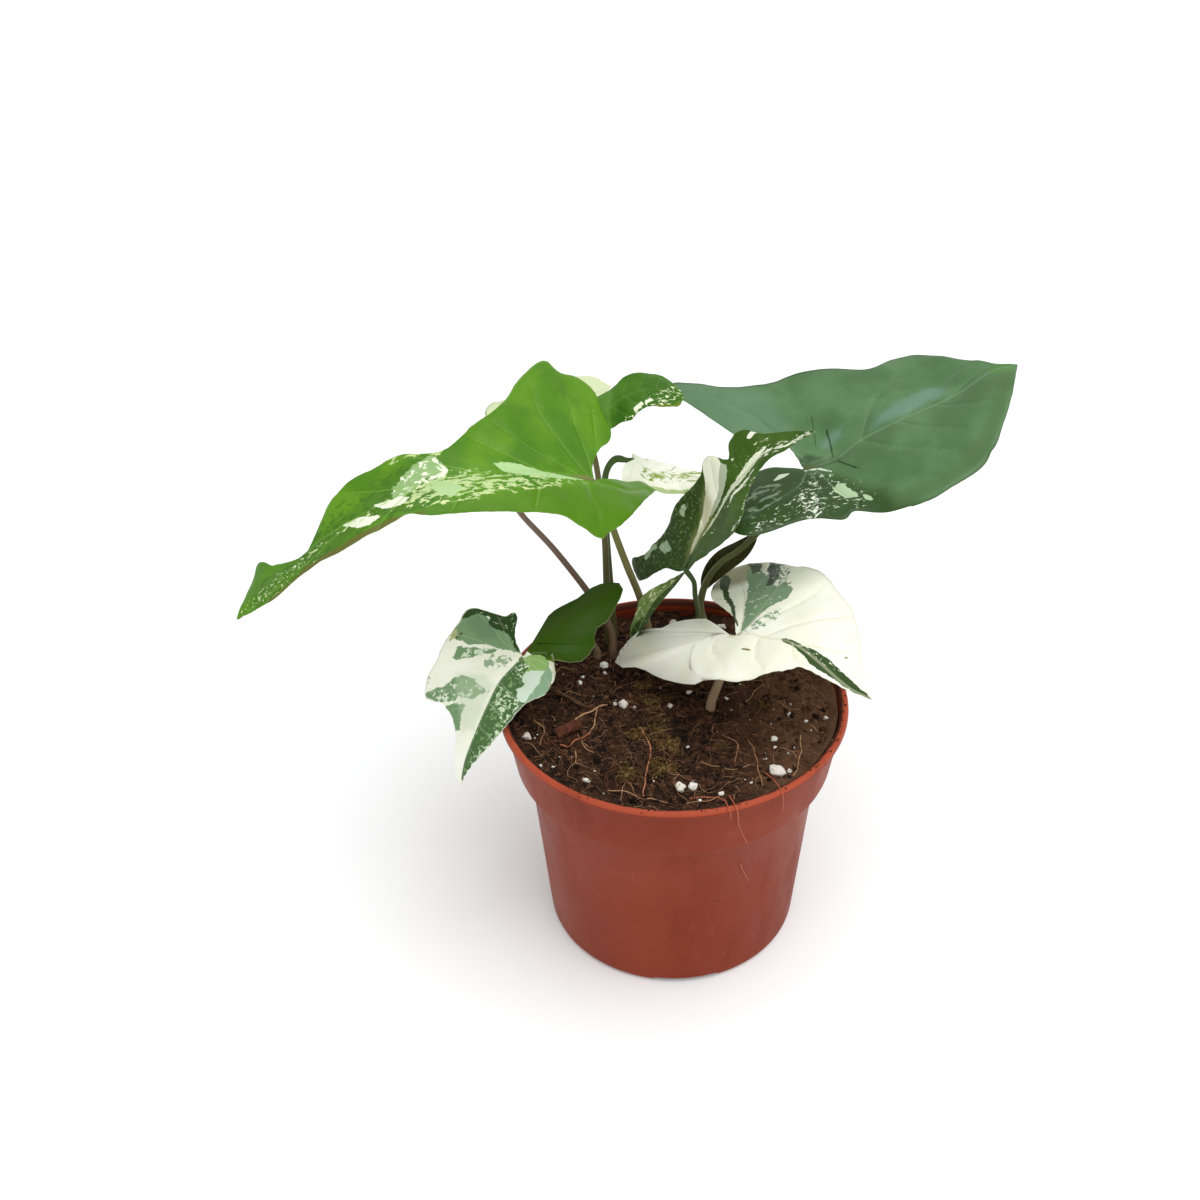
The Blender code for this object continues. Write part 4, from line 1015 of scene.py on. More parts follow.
            patch(lin(116, 150, 106), poly("R", [(12, 20), (9, 21), (6, 16), (6, 14), (3, 9),
                                                 (5, 9), (8, 13), (10, 15), (12, 18)], 0.0),
                  amp=1.2, scale=3.5),
            flecks(lin(212, 226, 200), poly("R", [(12, 20), (6, 16), (3, 9), (8, 12), (11, 17)],
                                            0.3),
                   scale=5.0, level=0.57, dense=0.04, fringe=0.5, core=1.5),
            flecks(lin(150, 176, 140), poly("R", [(9, 9), (6, 9), (4, 5), (2, 2), (6, 3),
                                                  (10, 6)], 0.3),
                   scale=4.5, level=0.53, dense=0.04, fringe=0.8, core=1.5),
            patch(lin(118, 150, 108), poly("R", [(28, 25), (25, 24), (21, 18), (17, 16), (15, 11),
                                                 (16, 6), (17, 2), (21, 6), (22, 11),
                                                 (25, 14), (28, 20)], 0.2),
                  poly("R", [(29, 17), (25, 12), (23, 7), (28, 8), (33, 6), (35, 8), (31, 12)],
                       -0.2), amp=2.2, scale=3.0),
            flecks(lin(218, 230, 206), poly("R", [(28, 25), (21, 18), (15, 11), (17, 4),
                                                  (23, 10), (28, 17)], 0.2),
                   scale=4.5, level=0.56, dense=0.03, fringe=0.5, core=1.5),
            patch(lin(184, 204, 170), poly("R", [(16, 16), (12, 6), (14, 0.5), (30, 0.5),
                                                 (34, 5), (26, 10)], 0.0),
                  amp=2.4, scale=2.0, soft=1.6, strength=0.45),
            flecks(lin(70, 66, 30), line("R", [(8, 26), (6, 24)], 1.2),
                   line("R", [(16, 29), (18, 28)], 1.2), line("R", [(28, 25), (30, 23)], 0.8),
                   line("R", [(20, 26), (22, 25)], 0.8),
                   scale=9.0, level=0.55, dense=0.05, fringe=0.5, core=1.0),
            patch(lin(222, 222, 160), poly("R", [(8, 27), (5, 26), (6, 24), (8, 24)], 0.0),
                  amp=1.8, scale=6.0, strength=0.5),
            patch(lin(142, 178, 104), poly("L", [(1, 0.5), (-2, 2), (-4, 5), (-4, 9), (-1, 11),
                                                 (3, 8), (4, 4)], 0.2), amp=1.6, scale=3.6),
            patch(lin(206, 224, 204), poly("L", [(5, 4), (1, 9), (0, 10), (5, 12), (11, 13),
                                                 (17, 11), (16, 7), (10, 6)], 0.3),
                  amp=2.0, scale=4.0),
            patch(lin(136, 168, 134), poly("L", [(-3, 10), (-1, 13), (5, 17), (10, 18),
                                                 (16, 15), (17, 12), (12, 12), (5, 12),
                                                 (1, 10.5)], 0.1), amp=1.4, scale=3.6),
            patch(lin(76, 108, 62), poly("L", [(-1, -1), (1, 1), (2, 5), (6, 5.4), (9, 8),
                                               (12, 7), (16, 9), (15, 13), (20, 12), (26, 9),
                                               (31, 8), (38, 5), (44, 2.6), (49, 1),
                                               (49, -1)], 0.0),
                  amp=1.5, scale=4.0),
            flecks(lin(206, 222, 190), poly("L", [(-1, 0.4), (2, 5), (6, 5.4), (9, 8), (6, 1)],
                                            0.4),
                   poly("L", [(14, 1), (15, 13), (20, 13), (24, 9), (22, 2)], 0.0),
                   line("L", [(24, 8), (32, 7), (40, 4)], 1.4),
                   scale=7.5, level=0.565, dense=0.05, fringe=0.8, core=2.0, soft=0.03),
            flecks(lin(134, 166, 112), poly("L", [(0, 0.4), (9, 8), (30, 9), (48, 2), (48, 0.2)],
                                            0.0),
                   scale=6.0, level=0.60, dense=0.03, fringe=0.8, core=2.0)]),
    "leaf_young_spear": dict(
        slot="leaf_lime", seed=41, light=lin(124, 148, 82), deep=lin(98, 126, 58),
        vein=lin(150, 172, 110), under=lin(60, 84, 36), gap=0.4, across=14, gloss=0.12,
        under_mix=0.7,
        marks=[
            patch(lin(52, 78, 26), poly("R", [(-4, -1), (-4, 10), (34, 10), (34, -1)], 0.0),
                  line("S", [(-1, 0), (4, 1), (10, 0)], 2.4, 2.0, 1.0),
                  amp=0.6, scale=3.0, soft=0.6),
            flecks(lin(204, 212, 166), poly("L", [(8, 0), (8, 5), (30, 3), (30, 0)], 0.0),
                   scale=6.0, level=0.60, dense=0.05, fringe=0.6, core=1.0, stretch=0.5)]),
}


# ------------------------------------------------------------------- stalks
STALKS = {
    "stalk_lime_left": dict(
        leaf="leaf_lime_left", foot=(-6, 35), radius=(1.5, 1.1),
        via=[(-9.5, 38, 108), (-14.5, 32, 127), (-19, 26, 145.5), (-22.5, 20, 162)],
        low=lin(128, 116, 78), high=lin(120, 128, 70)),
    "stalk_dark_right": dict(
        leaf="leaf_dark_right", foot=(15.5, 38.5), radius=(1.5, 1.1),
        via=[(12.5, 41.5, 100), (13, 42, 108), (15.5, 41, 116), (20, 39, 123.5),
             (27, 38, 130), (38, 37, 145)],
        low=lin(110, 112, 70), high=lin(84, 96, 50)),
    "stalk_hump_back": dict(
        leaf="leaf_hump_back", foot=(-21.5, 39), radius=(1.4, 1.0),
        via=[(-21.7, 41.5, 106.5), (-22, 43.5, 133), (-24, 45.3, 158), (-26.5, 46, 170)],
        low=lin(84, 80, 44), high=lin(110, 104, 66)),
    "stalk_pale_back": dict(
        leaf="leaf_pale_back", foot=(-20, 30), radius=(1.4, 1.0),
        via=[(-20.5, 34, 98), (-27.5, 40, 109), (-40, 45, 126), (-52, 49, 140), (-54, 51.5, 147)],
        low=lin(96, 74, 54), high=lin(138, 114, 102)),
    "stalk_white_middle": dict(
        leaf="leaf_white_middle", foot=(-19.8, 44), radius=(1.7, 1.1),
        via=[(-20.4, 46.5, 106.5), (-21.4, 48.8, 130), (-21.5, 50.6, 148), (-20.5, 51, 155),
             (-17.5, 52, 158.5), (-13.5, 51, 158.5)],
        low=lin(84, 80, 44), high=lin(74, 98, 48)),
    "stalk_variegated_middle": dict(
        leaf="leaf_variegated_middle", foot=(10.5, 33), radius=(1.2, 0.8),
        via=[(11, 34, 104), (9.5, 30.5, 114.5), (8.6, 27, 123)],
        low=lin(110, 116, 84), high=lin(70, 92, 50)),
    "stalk_cream_front": dict(
        leaf="leaf_cream_front", foot=(13, -2), radius=(1.9, 1.1),
        via=[(15, -2, 99), (18, -2.5, 110)],
        low=lin(172, 148, 116), high=lin(190, 172, 140)),
    "stalk_variegated_front": dict(
        leaf="leaf_variegated_front", foot=(-26, 31), radius=(1.2, 0.9),
        via=[(-30, 27, 99), (-38, 18, 103.5), (-46, 10, 104.5)],
        low=lin(130, 110, 84), high=lin(110, 128, 74)),
    "stalk_young_spear": dict(
        leaf="leaf_young_spear", foot=(-13, 29.5), radius=(1.3, 0.9),
        via=[(-12.8, 29.7, 92)],
        low=lin(110, 110, 70), high=lin(54, 84, 40)),
}
SOIL_LEVEL = 89.4


def tube_arrays(path, radii, sides=12, squash=None):
    """Vertices and faces of a closed tube with its own radius at each point."""
    path = np.asarray(path, float)
    tan = unit(np.gradient(path, axis=0))
    side = np.cross(tan[0], [0.3, 0.9, 0.2])
    side = side / np.linalg.norm(side)
    verts = []
    ang = np.linspace(0, 2 * math.pi, sides, endpoint=False)
    for k, (p, t) in enumerate(zip(path, tan)):
        side = side - t * (side @ t)
        side = side / np.linalg.norm(side)
        other = np.cross(t, side)
        r = radii[k] * np.ones(sides)
        if squash is not None:
            r = r * (1 - squash * np.maximum(np.cos(ang), 0) ** 3)
        verts.append(p + np.outer(np.cos(ang) * r, side) + np.outer(np.sin(ang) * r, other))
    verts = np.vstack(verts)
    faces = []
    for k in range(len(path) - 1):
        a, b = k * sides, (k + 1) * sides
        for j in range(sides):
            jj = (j + 1) % sides
            faces.append([a + j, a + jj, b + jj, b + j])
    faces.append(list(range(sides))[::-1])
    e = (len(path) - 1) * sides
    faces.append([e + j for j in range(sides)])
    return verts, faces


def stalk_piece(name, blades):
    spec = STALKS[name]
    blade = blades[spec["leaf"]]
    x, y = spec["foot"]
    joint = blade.rib[0]
    a = blade.point([0.0], [0.0], 0)[0]
    left = blade.point([1.0], [2.0], 0)[0] - a
    right = blade.point([1.0], [2.0], 1)[0] - a
    down = -unit(np.cross(right, left))
    if down[2] > 0:
        down = -down
    r0, r1 = spec["radius"]
    path = [(x, y, SOIL_LEVEL - 4.5), (x, y, SOIL_LEVEL + 2.0)] + spec["via"]
    path = [np.array(p, float) for p in path]
    path.append(joint + down * (r1 * 0.55 + 0.2))
    path.append(blade.rib[5] + down * 0.42)
    path.append(blade.rib[11] + down * 0.3)
    pts, length = resample(catmull(path, 14), 90)
    t = np.linspace(0, 1, 90)
    s = t * length
    tail = length - s
    rad = r0 + (r1 - r0) * t
    flare = 0.0 if name == "stalk_cream_front" else 0.35
    rad = rad + flare * np.exp(-((s - 4.0) / 7.0) ** 2)        # sheath at the foot
    rad = rad + 0.18 * r1 * np.exp(-((tail - 9.0) / 3.0) ** 2)   # swelling below the blade
    rad = np.where(tail < 8.0, rad * (0.22 + 0.78 * (np.clip(tail, 0, 8) / 8.0) ** 0.8), rad)
    verts, faces = tube_arrays(pts, rad, 14, squash=0.12)
    s_mat = Shade(name + "_skin", 0.45, 0.25)
    up = s_mat.number("up")
    grain = s_mat.noise(s_mat.vector("grain"), 1.0, 4.0, 0.6)
    tone = s_mat.math("ADD", up, s_mat.math("MULTIPLY_ADD", grain, 0.5, -0.25))
    col = s_mat.mix(s_mat.step(tone, 0.1, 0.9), spec["low"], spec["high"])
    dark = s_mat.step(grain, 0.52, 0.7, 0.0, 0.35)
    col = s_mat.mix(dark, col, tuple(c * 0.45 for c in spec["low"][:3]) + (1,))
    s_mat.colour(col)
    s_mat.bump(grain, 0.15, 0.0003)
    up_v = np.repeat(t, 14)
    ang = np.tile(np.arange(14) / 14.0, 90)
    grain_v = np.column_stack([np.cos(ang * 6.283) * 2.2, np.sin(ang * 6.283) * 2.2,
                               np.repeat(s, 14) * 0.12])
    obj = make_object(name + "_skin", verts, faces, [s_mat.mat], None,
                      {"up": up_v, "grain": grain_v})
    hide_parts(name)
    return obj


# ---------------------------------------------------------------------- pot
POT_PROFILE = [
    (0, 0.9), (39.5, 0.9), (40.3, 0.3), (41.0, 0.0), (43.2, 0.0), (43.9, 0.15), (44.4, 0.55),
    (44.9, 1.3), (45.2, 2.2), (45.32, 3.2),
    (48.1, 37.0), (50.9, 70.4), (51.2, 71.0), (53.3, 71.1), (54.5, 71.25), (55.1, 71.6),
    (55.35, 72.3), (55.5, 73.2), (56.9, 82.0), (58.15, 90.0), (58.3, 90.7), (58.7, 91.05),
    (59.4, 91.1), (59.8, 91.35), (60.0, 91.9), (60.0, 92.6), (59.9, 93.2), (59.6, 93.7),
    (59.1, 93.95), (58.6, 94.0), (58.0, 93.8), (57.5, 93.3), (57.2, 92.6), (56.9, 90.8),
    (55.6, 82.0), (54.2, 73.2), (53.9, 72.5), (53.0, 71.9), (50.6, 70.9), (49.8, 70.2),
    (49.6, 69.0), (46.9, 37.0), (44.1, 3.0), (43.8, 2.2), (43.2, 1.7), (0, 1.7)]
NOTCH = dict(width=23.0, height=2.2, count=4, start=-86.0)


def pot_piece():
    sides = 224
    bm = bmesh.new()
    verts = [bm.verts.new((r * MM, 0, z * MM)) for r, z in POT_PROFILE]
    edges = [bm.edges.new(p) for p in zip(verts, verts[1:])]
    bmesh.ops.spin(bm, geom=verts + edges, cent=(0, 0, 0), axis=(0, 0, 1),
                   angle=2 * math.pi, steps=sides, use_merge=False, use_duplicate=False)
    bmesh.ops.remove_doubles(bm, verts=bm.verts, dist=0.00001)
    bmesh.ops.recalc_face_normals(bm, faces=bm.faces)
    # the moulded wall is never perfectly round
    for v in bm.verts:
        a = math.atan2(v.co.y, v.co.x)
        h = v.co.z / 0.094
        k = 1 + h * (0.0022 * math.sin(2 * a + 0.7) + 0.0012 * math.sin(3 * a + 2.0))
        v.co.x *= k
        v.co.y *= k
    mesh = bpy.data.meshes.new("pot_wall")
    bm.to_mesh(mesh)
    bm.free()
    obj = bpy.data.objects.new("pot_wall", mesh)
    bpy.context.scene.collection.objects.link(obj)
    tools = []
    for k in range(NOTCH["count"]):
        a = math.radians(NOTCH["start"] + 360.0 / NOTCH["count"] * k)
        bm = bmesh.new()
        bmesh.ops.create_cube(bm, size=1.0)
        bmesh.ops.scale(bm, vec=(8 * MM, NOTCH["width"] * MM, 2 * NOTCH["height"] * MM),
                        verts=bm.verts)
        tool_mesh = bpy.data.meshes.new("notch_tool_%d" % k)
        bm.to_mesh(tool_mesh)
        bm.free()
        tool = bpy.data.objects.new(tool_mesh.name, tool_mesh)
        bpy.context.scene.collection.objects.link(tool)
        r = 44.0
        tool.location = (r * MM * math.cos(a), r * MM * math.sin(a), 0)
        tool.rotation_euler = (0, 0, a)
        mod = obj.modifiers.new("notch%d" % k, "BOOLEAN")
        mod.operation = "DIFFERENCE"
        mod.solver = "EXACT"
        mod.object = tool
        tools.append(tool)
    bpy.context.view_layer.update()
    done = bpy.data.meshes.new_from_object(
        obj.evaluated_get(bpy.context.evaluated_depsgraph_get()))
    obj.modifiers.clear()
    obj.data = done
    for tool in tools:
        bpy.data.objects.remove(tool, do_unlink=True)
    done.shade_smooth()
    done.set_sharp_from_angle(angle=math.radians(38))
    done.materials.clear()
    done.materials.append(pot_material())
    done.materials.append(pot_inner_material())
    for face in done.polygons:      # faces of the inner wall look towards the axis
        c = face.center
        if c.z > 0.0018 and c.x * face.normal.x + c.y * face.normal.y < -0.02 * c.xy.length \
                and c.z < 0.0915:
            face.material_index = 1
    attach(obj, ROOT)
    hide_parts("pot")
    return obj


def pot_material():
    s = Shade("pot_terracotta", 0.5, 0.14)
    p = s.place()
    broad = s.noise(p, 22.0, 3.0, 0.5)
    base = s.mix(s.step(broad, 0.3, 0.7), lin(139, 54, 26), lin(128, 46, 20))
    z = s.node("ShaderNodeSeparateXYZ")
    s.put(z.inputs[0], p)
    height = z.outputs["Z"]
    reach = s.math("SQRT", s.math("MULTIPLY_ADD", z.outputs["X"], z.outputs["X"],
                                  s.math("MULTIPLY", z.outputs["Y"], z.outputs["Y"])))
    # darker band on the inner side of the rim top: partly soil residue, partly painted shade
    soil_and_shade_fray = s.noise(p, 260.0, 4.0, 0.6)
    inner_rim_soil_and_shade = s.math("MULTIPLY", s.step(s.math("MULTIPLY_ADD", soil_and_shade_fray, 0.0016, reach),
                                       0.0594, 0.0588), s.step(height, 0.0915, 0.0925))
    # painted light: the top of the rim is lightened as if lit from above, far less at the back, which
    # stays dark as painted shade
    lip = s.math("MULTIPLY", s.step(height, 0.0922, 0.0932, 0.0, 0.85),
                 s.step(z.outputs["Y"], 0.035, 0.0, 0.25, 1.0))
    base = s.mix(lip, base, lin(178, 80, 54))
    base = s.mix(s.math("MULTIPLY", inner_rim_soil_and_shade, 0.9), base, lin(66, 34, 23))
    # dried splashes of soil: more on the band, few on the body
    speck = s.noise(s.scaled(p, (1, 1, 0.75)), 560.0, 3.0, 0.6, 0.5)
    zone = s.noise(p, 38.0, 2.0, 0.5)
    more = s.math("MULTIPLY", s.step(height, 0.03, 0.1, 0.45, 1.0), s.step(zone, 0.42, 0.66))
    x = s.math("MULTIPLY_ADD", more, 0.15, speck)
    dirt = s.step(x, 0.75, 0.79, 0.0, 0.7)
    base = s.mix(dirt, base, lin(72, 32, 20))
    smear = s.noise(s.scaled(p, (1, 1, 0.35)), 70.0, 4.0, 0.6)
    film = s.math("MULTIPLY", s.step(smear, 0.52, 0.72), s.step(height, 0.0, 0.09, 0.2, 0.45))
    base = s.mix(film, base, lin(112, 46, 28))
    dust = s.noise(s.scaled(p, (1, 1, 0.5)), 120.0, 5.0, 0.65)
    base = s.mix(s.step(dust, 0.6, 0.75, 0.0, 0.2), base, lin(172, 96, 70))
    s.colour(base)
    s.rough(s.step(smear, 0.3, 0.8, 0.4, 0.6))
    s.bump(s.noise(p, 900.0, 2.0, 0.5), 0.05, 0.0002)
    return s.mat


def pot_inner_material():
    """Inside of the wall: darker than the outside as painted shade, and stained by wet mix."""
    s = Shade("pot_inside_stain_and_shade", 0.6, 0.2)
    p = s.place()
    stain = s.noise(p, 90.0, 5.0, 0.65)
    # painted shade: a darker copy of the terracotta, mottled like stains
    base = s.mix(s.step(stain, 0.35, 0.65), lin(112, 40, 22), lin(84, 34, 22))
    crumb = s.noise(p, 420.0, 3.0, 0.6)
    z = s.node("ShaderNodeSeparateXYZ")
    s.put(z.inputs[0], p)
    low = s.step(z.outputs["Z"], 0.0905, 0.088, 0.0, 0.16)
    base = s.mix(s.step(s.math("ADD", crumb, low), 0.6, 0.68, 0.0, 0.8), base, lin(52, 32, 22))
    s.colour(base)
    s.bump(crumb, 0.3, 0.0005)
    return s.mat


# --------------------------------------------------------------------- soil
def soil_top(x, y):
    r = np.hypot(x, y)
    mounds = 0.7 * np.sin(x / 9.0 + 0.6) * np.cos(y / 11.0 - 0.4) + 0.4 * np.sin(x / 5.0 - y / 6.0)
    fade = np.clip((54.0 - r) / 10.0, 0, 1)
    return SOIL_LEVEL - 0.03 * y + mounds * fade


def soil_height(x, y):
    """Lumpy surface: broad mounds, crumbs and pits."""
    x, y = np.asarray(x, float), np.asarray(y, float)
    h = soil_top(x, y) - 0.5
    p = np.column_stack([x.ravel(), y.ravel()])
    h = h.ravel()
    h = h + 0.9 * wobble(p, 9.0, 51) + 0.75 * wobble(p, 3.6, 52)
    crumb = np.abs(wobble(p, 2.1, 53))
    h = h + 0.75 * (0.5 - crumb) + 0.22 * wobble(p, 0.9, 54)
    return h.reshape(x.shape)


def soil_piece():
    rings, around = 118, 330
    radius = 56.6
    r = radius * (np.arange(1, rings + 1) / rings) ** 0.8
    a = 2 * math.pi * np.arange(around) / around
    x, y = np.outer(r, np.cos(a)), np.outer(r, np.sin(a))
    z = soil_height(x, y)
    edge = smoothstep(r, 52.0, 56.6)[:, None]
    rise = 1.5 + 0.9 * np.cos(np.arctan2(y, x) - 0.1) + 0.9 * wobble(np.column_stack([x.ravel(), y.ravel()]), 7.0, 55).reshape(x.shape)
    z = z * (1 - edge) + (soil_top(x, y) + rise + 0.8 * (z - soil_top(x, y))) * edge
    verts = [(0, 0, float(soil_height(np.array([0.0]), np.array([0.0]))[0]))]
    verts += np.stack([x, y, z], -1).reshape(-1, 3).tolist()
    last = len(verts) - around
    rows = [(56.0, 84.0), (53.6, 73.0), (49.3, 70.0), (44.0, 4.0)]
    for rr, zz in rows:
        verts += [(rr * math.cos(t), rr * math.sin(t), zz) for t in a]
    faces = [[0, 1 + k, 1 + (k + 1) % around] for k in range(around)]
    total = rings + len(rows)
    for i in range(total - 1):
        p, q = 1 + i * around, 1 + (i + 1) * around
        for k in range(around):
            kk = (k + 1) % around
            faces.append([p + k, q + k, q + kk, p + kk])
    e = 1 + (total - 1) * around
    faces.append([e + k for k in range(around)][::-1])
    s = Shade("coir_and_peat", 0.95, 0.15)
    p = s.place()
    n1 = s.noise(p, 180.0, 5.0, 0.65)
    n2 = s.noise(p, 620.0, 4.0, 0.7, 0.4)
    col = s.mix(s.step(n1, 0.38, 0.62), lin(26, 16, 11), lin(66, 43, 29))
    col = s.mix(s.step(n2, 0.54, 0.68, 0.0, 0.85), col, lin(128, 90, 64))
    col = s.mix(s.step(n2, 0.45, 0.36, 0.0, 0.85), col, lin(14, 9, 6))
    # painted light: the soil is lightened towards the right, where the light falls
    right = s.node("ShaderNodeSeparateXYZ")
    s.put(right.inputs[0], p)
    col = s.mix(s.step(right.outputs["X"], 0.012, 0.04, 0.0, 0.55), col, lin(122, 88, 66))
    moss = s.noise(p, 60.0, 3.0, 0.6)
    col = s.mix(s.step(moss, 0.66, 0.74, 0.0, 0.55), col, lin(88, 74, 34))
    s.colour(col)
    s.bump(s.math("ADD", n2, n1), 0.9, 0.0009)
    obj = make_object("soil_surface", verts, faces, [s.mat])
    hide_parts("potting_mix")
    return obj


def at_soil(x, y):
    return float(soil_height(np.array([x]), np.array([y]))[0])


def icosphere(level):
    bm = bmesh.new()
    bmesh.ops.create_icosphere(bm, subdivisions=level, radius=1.0)
    v = np.array([tuple(p.co) for p in bm.verts])
    f = [[q.index for q in face.verts] for face in bm.faces]
    bm.free()
    return v, f


def gather(parts):
    """One mesh from many (vertices, faces) parts, with a tone per part."""
    verts, faces, tone, base = [], [], [], 0
    for v, f, t in parts:
        verts.append(v)
        faces.extend([[i + base for i in q] for q in f])
        tone.append(np.full(len(v), t))
        base += len(v)
    return np.vstack(verts), faces, np.concatenate(tone)


def lump(rng, centre, size, level, rough, ball):
    v, f = ball[level]
    s = rng.uniform(0, 100)
    bumps = 1 + rough * wobble(v, 0.9, s)
    shape = np.array([rng.uniform(0.7, 1.25), rng.uniform(0.7, 1.25), rng.uniform(0.55, 0.95)])
    m = np.array(Matrix.Rotation(rng.uniform(0, 6.28), 3, "Z"))
    w = (v * bumps[:, None] * shape * size) @ m.T
    return w + np.array(centre), f


def crumbs_piece(ball):
    rng = random.Random(11)
    parts = []
    while len(parts) < 980:
        r, a = 55.0 * math.sqrt(rng.random()), rng.uniform(0, 6.283)
        size = 0.4 + 1.05 * rng.random() ** 2.4
        lift = 0.0
        if len(parts) > 700:          # heaped against the wall and on its lip
            r = rng.uniform(53.5, 57.6)
            size = 0.3 + 0.6 * rng.random() ** 1.5
            lift = max(0.0, r - 54.5) * rng.uniform(0.2, 0.75)
        x, y = r * math.cos(a), r * math.sin(a)
        z = at_soil(x, y) + size * 0.15 + lift
        if len(parts) > 900:
            a = rng.choice([rng.uniform(-2.2, -0.4), rng.uniform(-0.8, 0.1)])
            r = rng.uniform(57.4, 59.4)
            size = rng.uniform(0.18, 0.42)
            x, y, z = r * math.cos(a), r * math.sin(a), 93.95 + size * 0.5
        v, f = lump(rng, (x, y, z), size, 1 if size < 0.9 else 2, 0.35, ball)
        parts.append((v, f, rng.random()))
    verts, faces, tone = gather(parts)
    s = Shade("peat_crumb", 0.95, 0.15)
    t = s.number("tone")
    n = s.noise(s.place(), 700.0, 4.0, 0.7)
    col = s.mix(s.step(t, 0.2, 0.95), lin(24, 15, 10), lin(84, 55, 38))
    col = s.mix(s.step(n, 0.5, 0.68, 0.0, 0.7), col, lin(130, 92, 62))
    col = s.mix(s.step(n, 0.42, 0.32, 0.0, 0.8), col, lin(24, 15, 11))
    s.colour(col)
    s.bump(n, 0.8, 0.0008)
    obj = make_object("peat_crumbs", verts, faces, [s.mat], None, {"tone": tone}, smooth=False)


def fibre_path(rng, x, y, length, lift, steps=8, curl=1.0):
    a = rng.uniform(0, 6.283)
    bend = rng.uniform(-1, 1) * curl / length * 2.2
    pts = []
    for k in range(steps):
        f = k / (steps - 1)
        z = at_soil(x, y) + 0.15 + lift * math.sin(math.pi * f) * rng.uniform(0.8, 1.1)
        pts.append((x, y, z))
        x += length / (steps - 1) * math.cos(a)
        y += length / (steps - 1) * math.sin(a)
        a += bend * length / (steps - 1) + rng.uniform(-0.25, 0.25)
        if math.hypot(x, y) > 55.8:
            a += 1.2
            x, y = x * 0.985, y * 0.985
    return pts


def fibres_piece():
    rng = random.Random(23)
    parts = []
    for k in range(1900):
        r, a = 55.5 * math.sqrt(rng.random()), rng.uniform(0, 6.283)
        length = rng.uniform(2.5, 6) if rng.random() < 0.6 else rng.uniform(6, 13)
        pts = fibre_path(rng, r * math.cos(a), r * math.sin(a), length, rng.uniform(0.1, 1.4))
        rad = np.full(len(pts), rng.uniform(0.04, 0.08) if k % 6 else rng.uniform(0.08, 0.14))
        rad[-1] *= 0.5
        v, f = tube_arrays(pts, rad, 4)
        parts.append((v, f, rng.random()))
    verts, faces, tone = gather(parts)
    s = Shade("coir_fibre", 0.8, 0.25)
    t = s.number("tone")
    col = s.mix(s.step(t, 0.0, 0.7), lin(44, 27, 19), lin(112, 74, 50))
    col = s.mix(s.step(t, 0.8, 0.97), col, lin(188, 146, 110))
    s.colour(col)
    s.bump(s.noise(s.place(), 1500.0, 2.0, 0.5), 0.2, 0.0002)
    obj = make_object("coir_fibres", verts, faces, [s.mat], None, {"tone": tone})


# ------------------------------------------------- loose things on the soil
# white grains: place (x, y) and size
PERLITE = [
    (-50, -14, 1.7), (-30, -40, 1.1), (-17, 3, 1.7), (-23, 26, 1.3), (-23, 21, 0.8),
    (-32, 16, 0.8), (-31, 19, 0.6), (-45, -32, 0.6), (0, -45, 1.7), (4, -45, 1.7),
    (13, -48, 0.8), (32, -37, 2.3), (36, -37, 0.9), (40, -6, 1.0), (45, -10, 0.9),
    (52, -8, 1.2), (52, -23, 1.3), (33, -20, 1.1), (33, -24, 0.9), (37, -27, 0.6),
    (4, -21, 0.6), (-41, -31, 0.5), (19, 3, 0.8), (-1, -2, 0.8), (6, 5, 0.8),
    (-13, 2, 0.6), (3, 52, 1.5), (21, 47, 1.5), (6, -50, 0.5), (-20, 4, 0.8), (23, -43, 0.5)]


def perlite_piece(ball):
    rng = random.Random(31)
    parts = []
    for x, y, size in PERLITE:
        v, f = lump(rng, (x, y, at_soil(x, y) + size * 0.45), size, 3, 0.3, ball)
        parts.append((v, f, rng.random()))
        if size > 1.4:      # the big ones are clusters
            dx, dy = rng.uniform(-1, 1) * size, rng.uniform(-0.5, 0.5) * size
            v, f = lump(rng, (x + dx, y + dy, at_soil(x + dx, y + dy) + size * 0.3),
                        size * 0.55, 2, 0.35, ball)
            parts.append((v, f, rng.random()))
    for k in range(46):
        r, a = 54.0 * math.sqrt(rng.random()), rng.uniform(0, 6.283)
        x, y = r * math.cos(a), r * math.sin(a)
        size = rng.uniform(0.18, 0.42)
        v, f = lump(rng, (x, y, at_soil(x, y) + size * 0.6), size, 2, 0.3, ball)
        parts.append((v, f, rng.random()))
    verts, faces, tone = gather(parts)
    s = Shade("perlite_grain", 0.8, 0.2)
    p = s.place()
    n = s.noise(p, 900.0, 4.0, 0.6)
    col = s.mix(s.step(s.number("tone"), 0.0, 1.0), lin(226, 220, 208), lin(246, 244, 238))
    col = s.mix(s.step(n, 0.56, 0.72, 0.0, 0.75), col, lin(150, 122, 98))
    s.colour(col)
    s.bump(s.cells(p, 1400.0), 0.5, 0.0004)
    make_object("perlite", verts, faces, [s.mat], None, {"tone": tone})


# mossy spots: centre (x, y), reach, number of threads
MOSS = [(-5, -33, 5.5, 340), (-8, 12, 4.5, 150), (-6, 3, 6.5, 200), (-8, -14, 8.0, 460),
        (-17, -37, 4.5, 190), (32, 0, 3.0, 90), (-2, -22, 5.0, 220)]


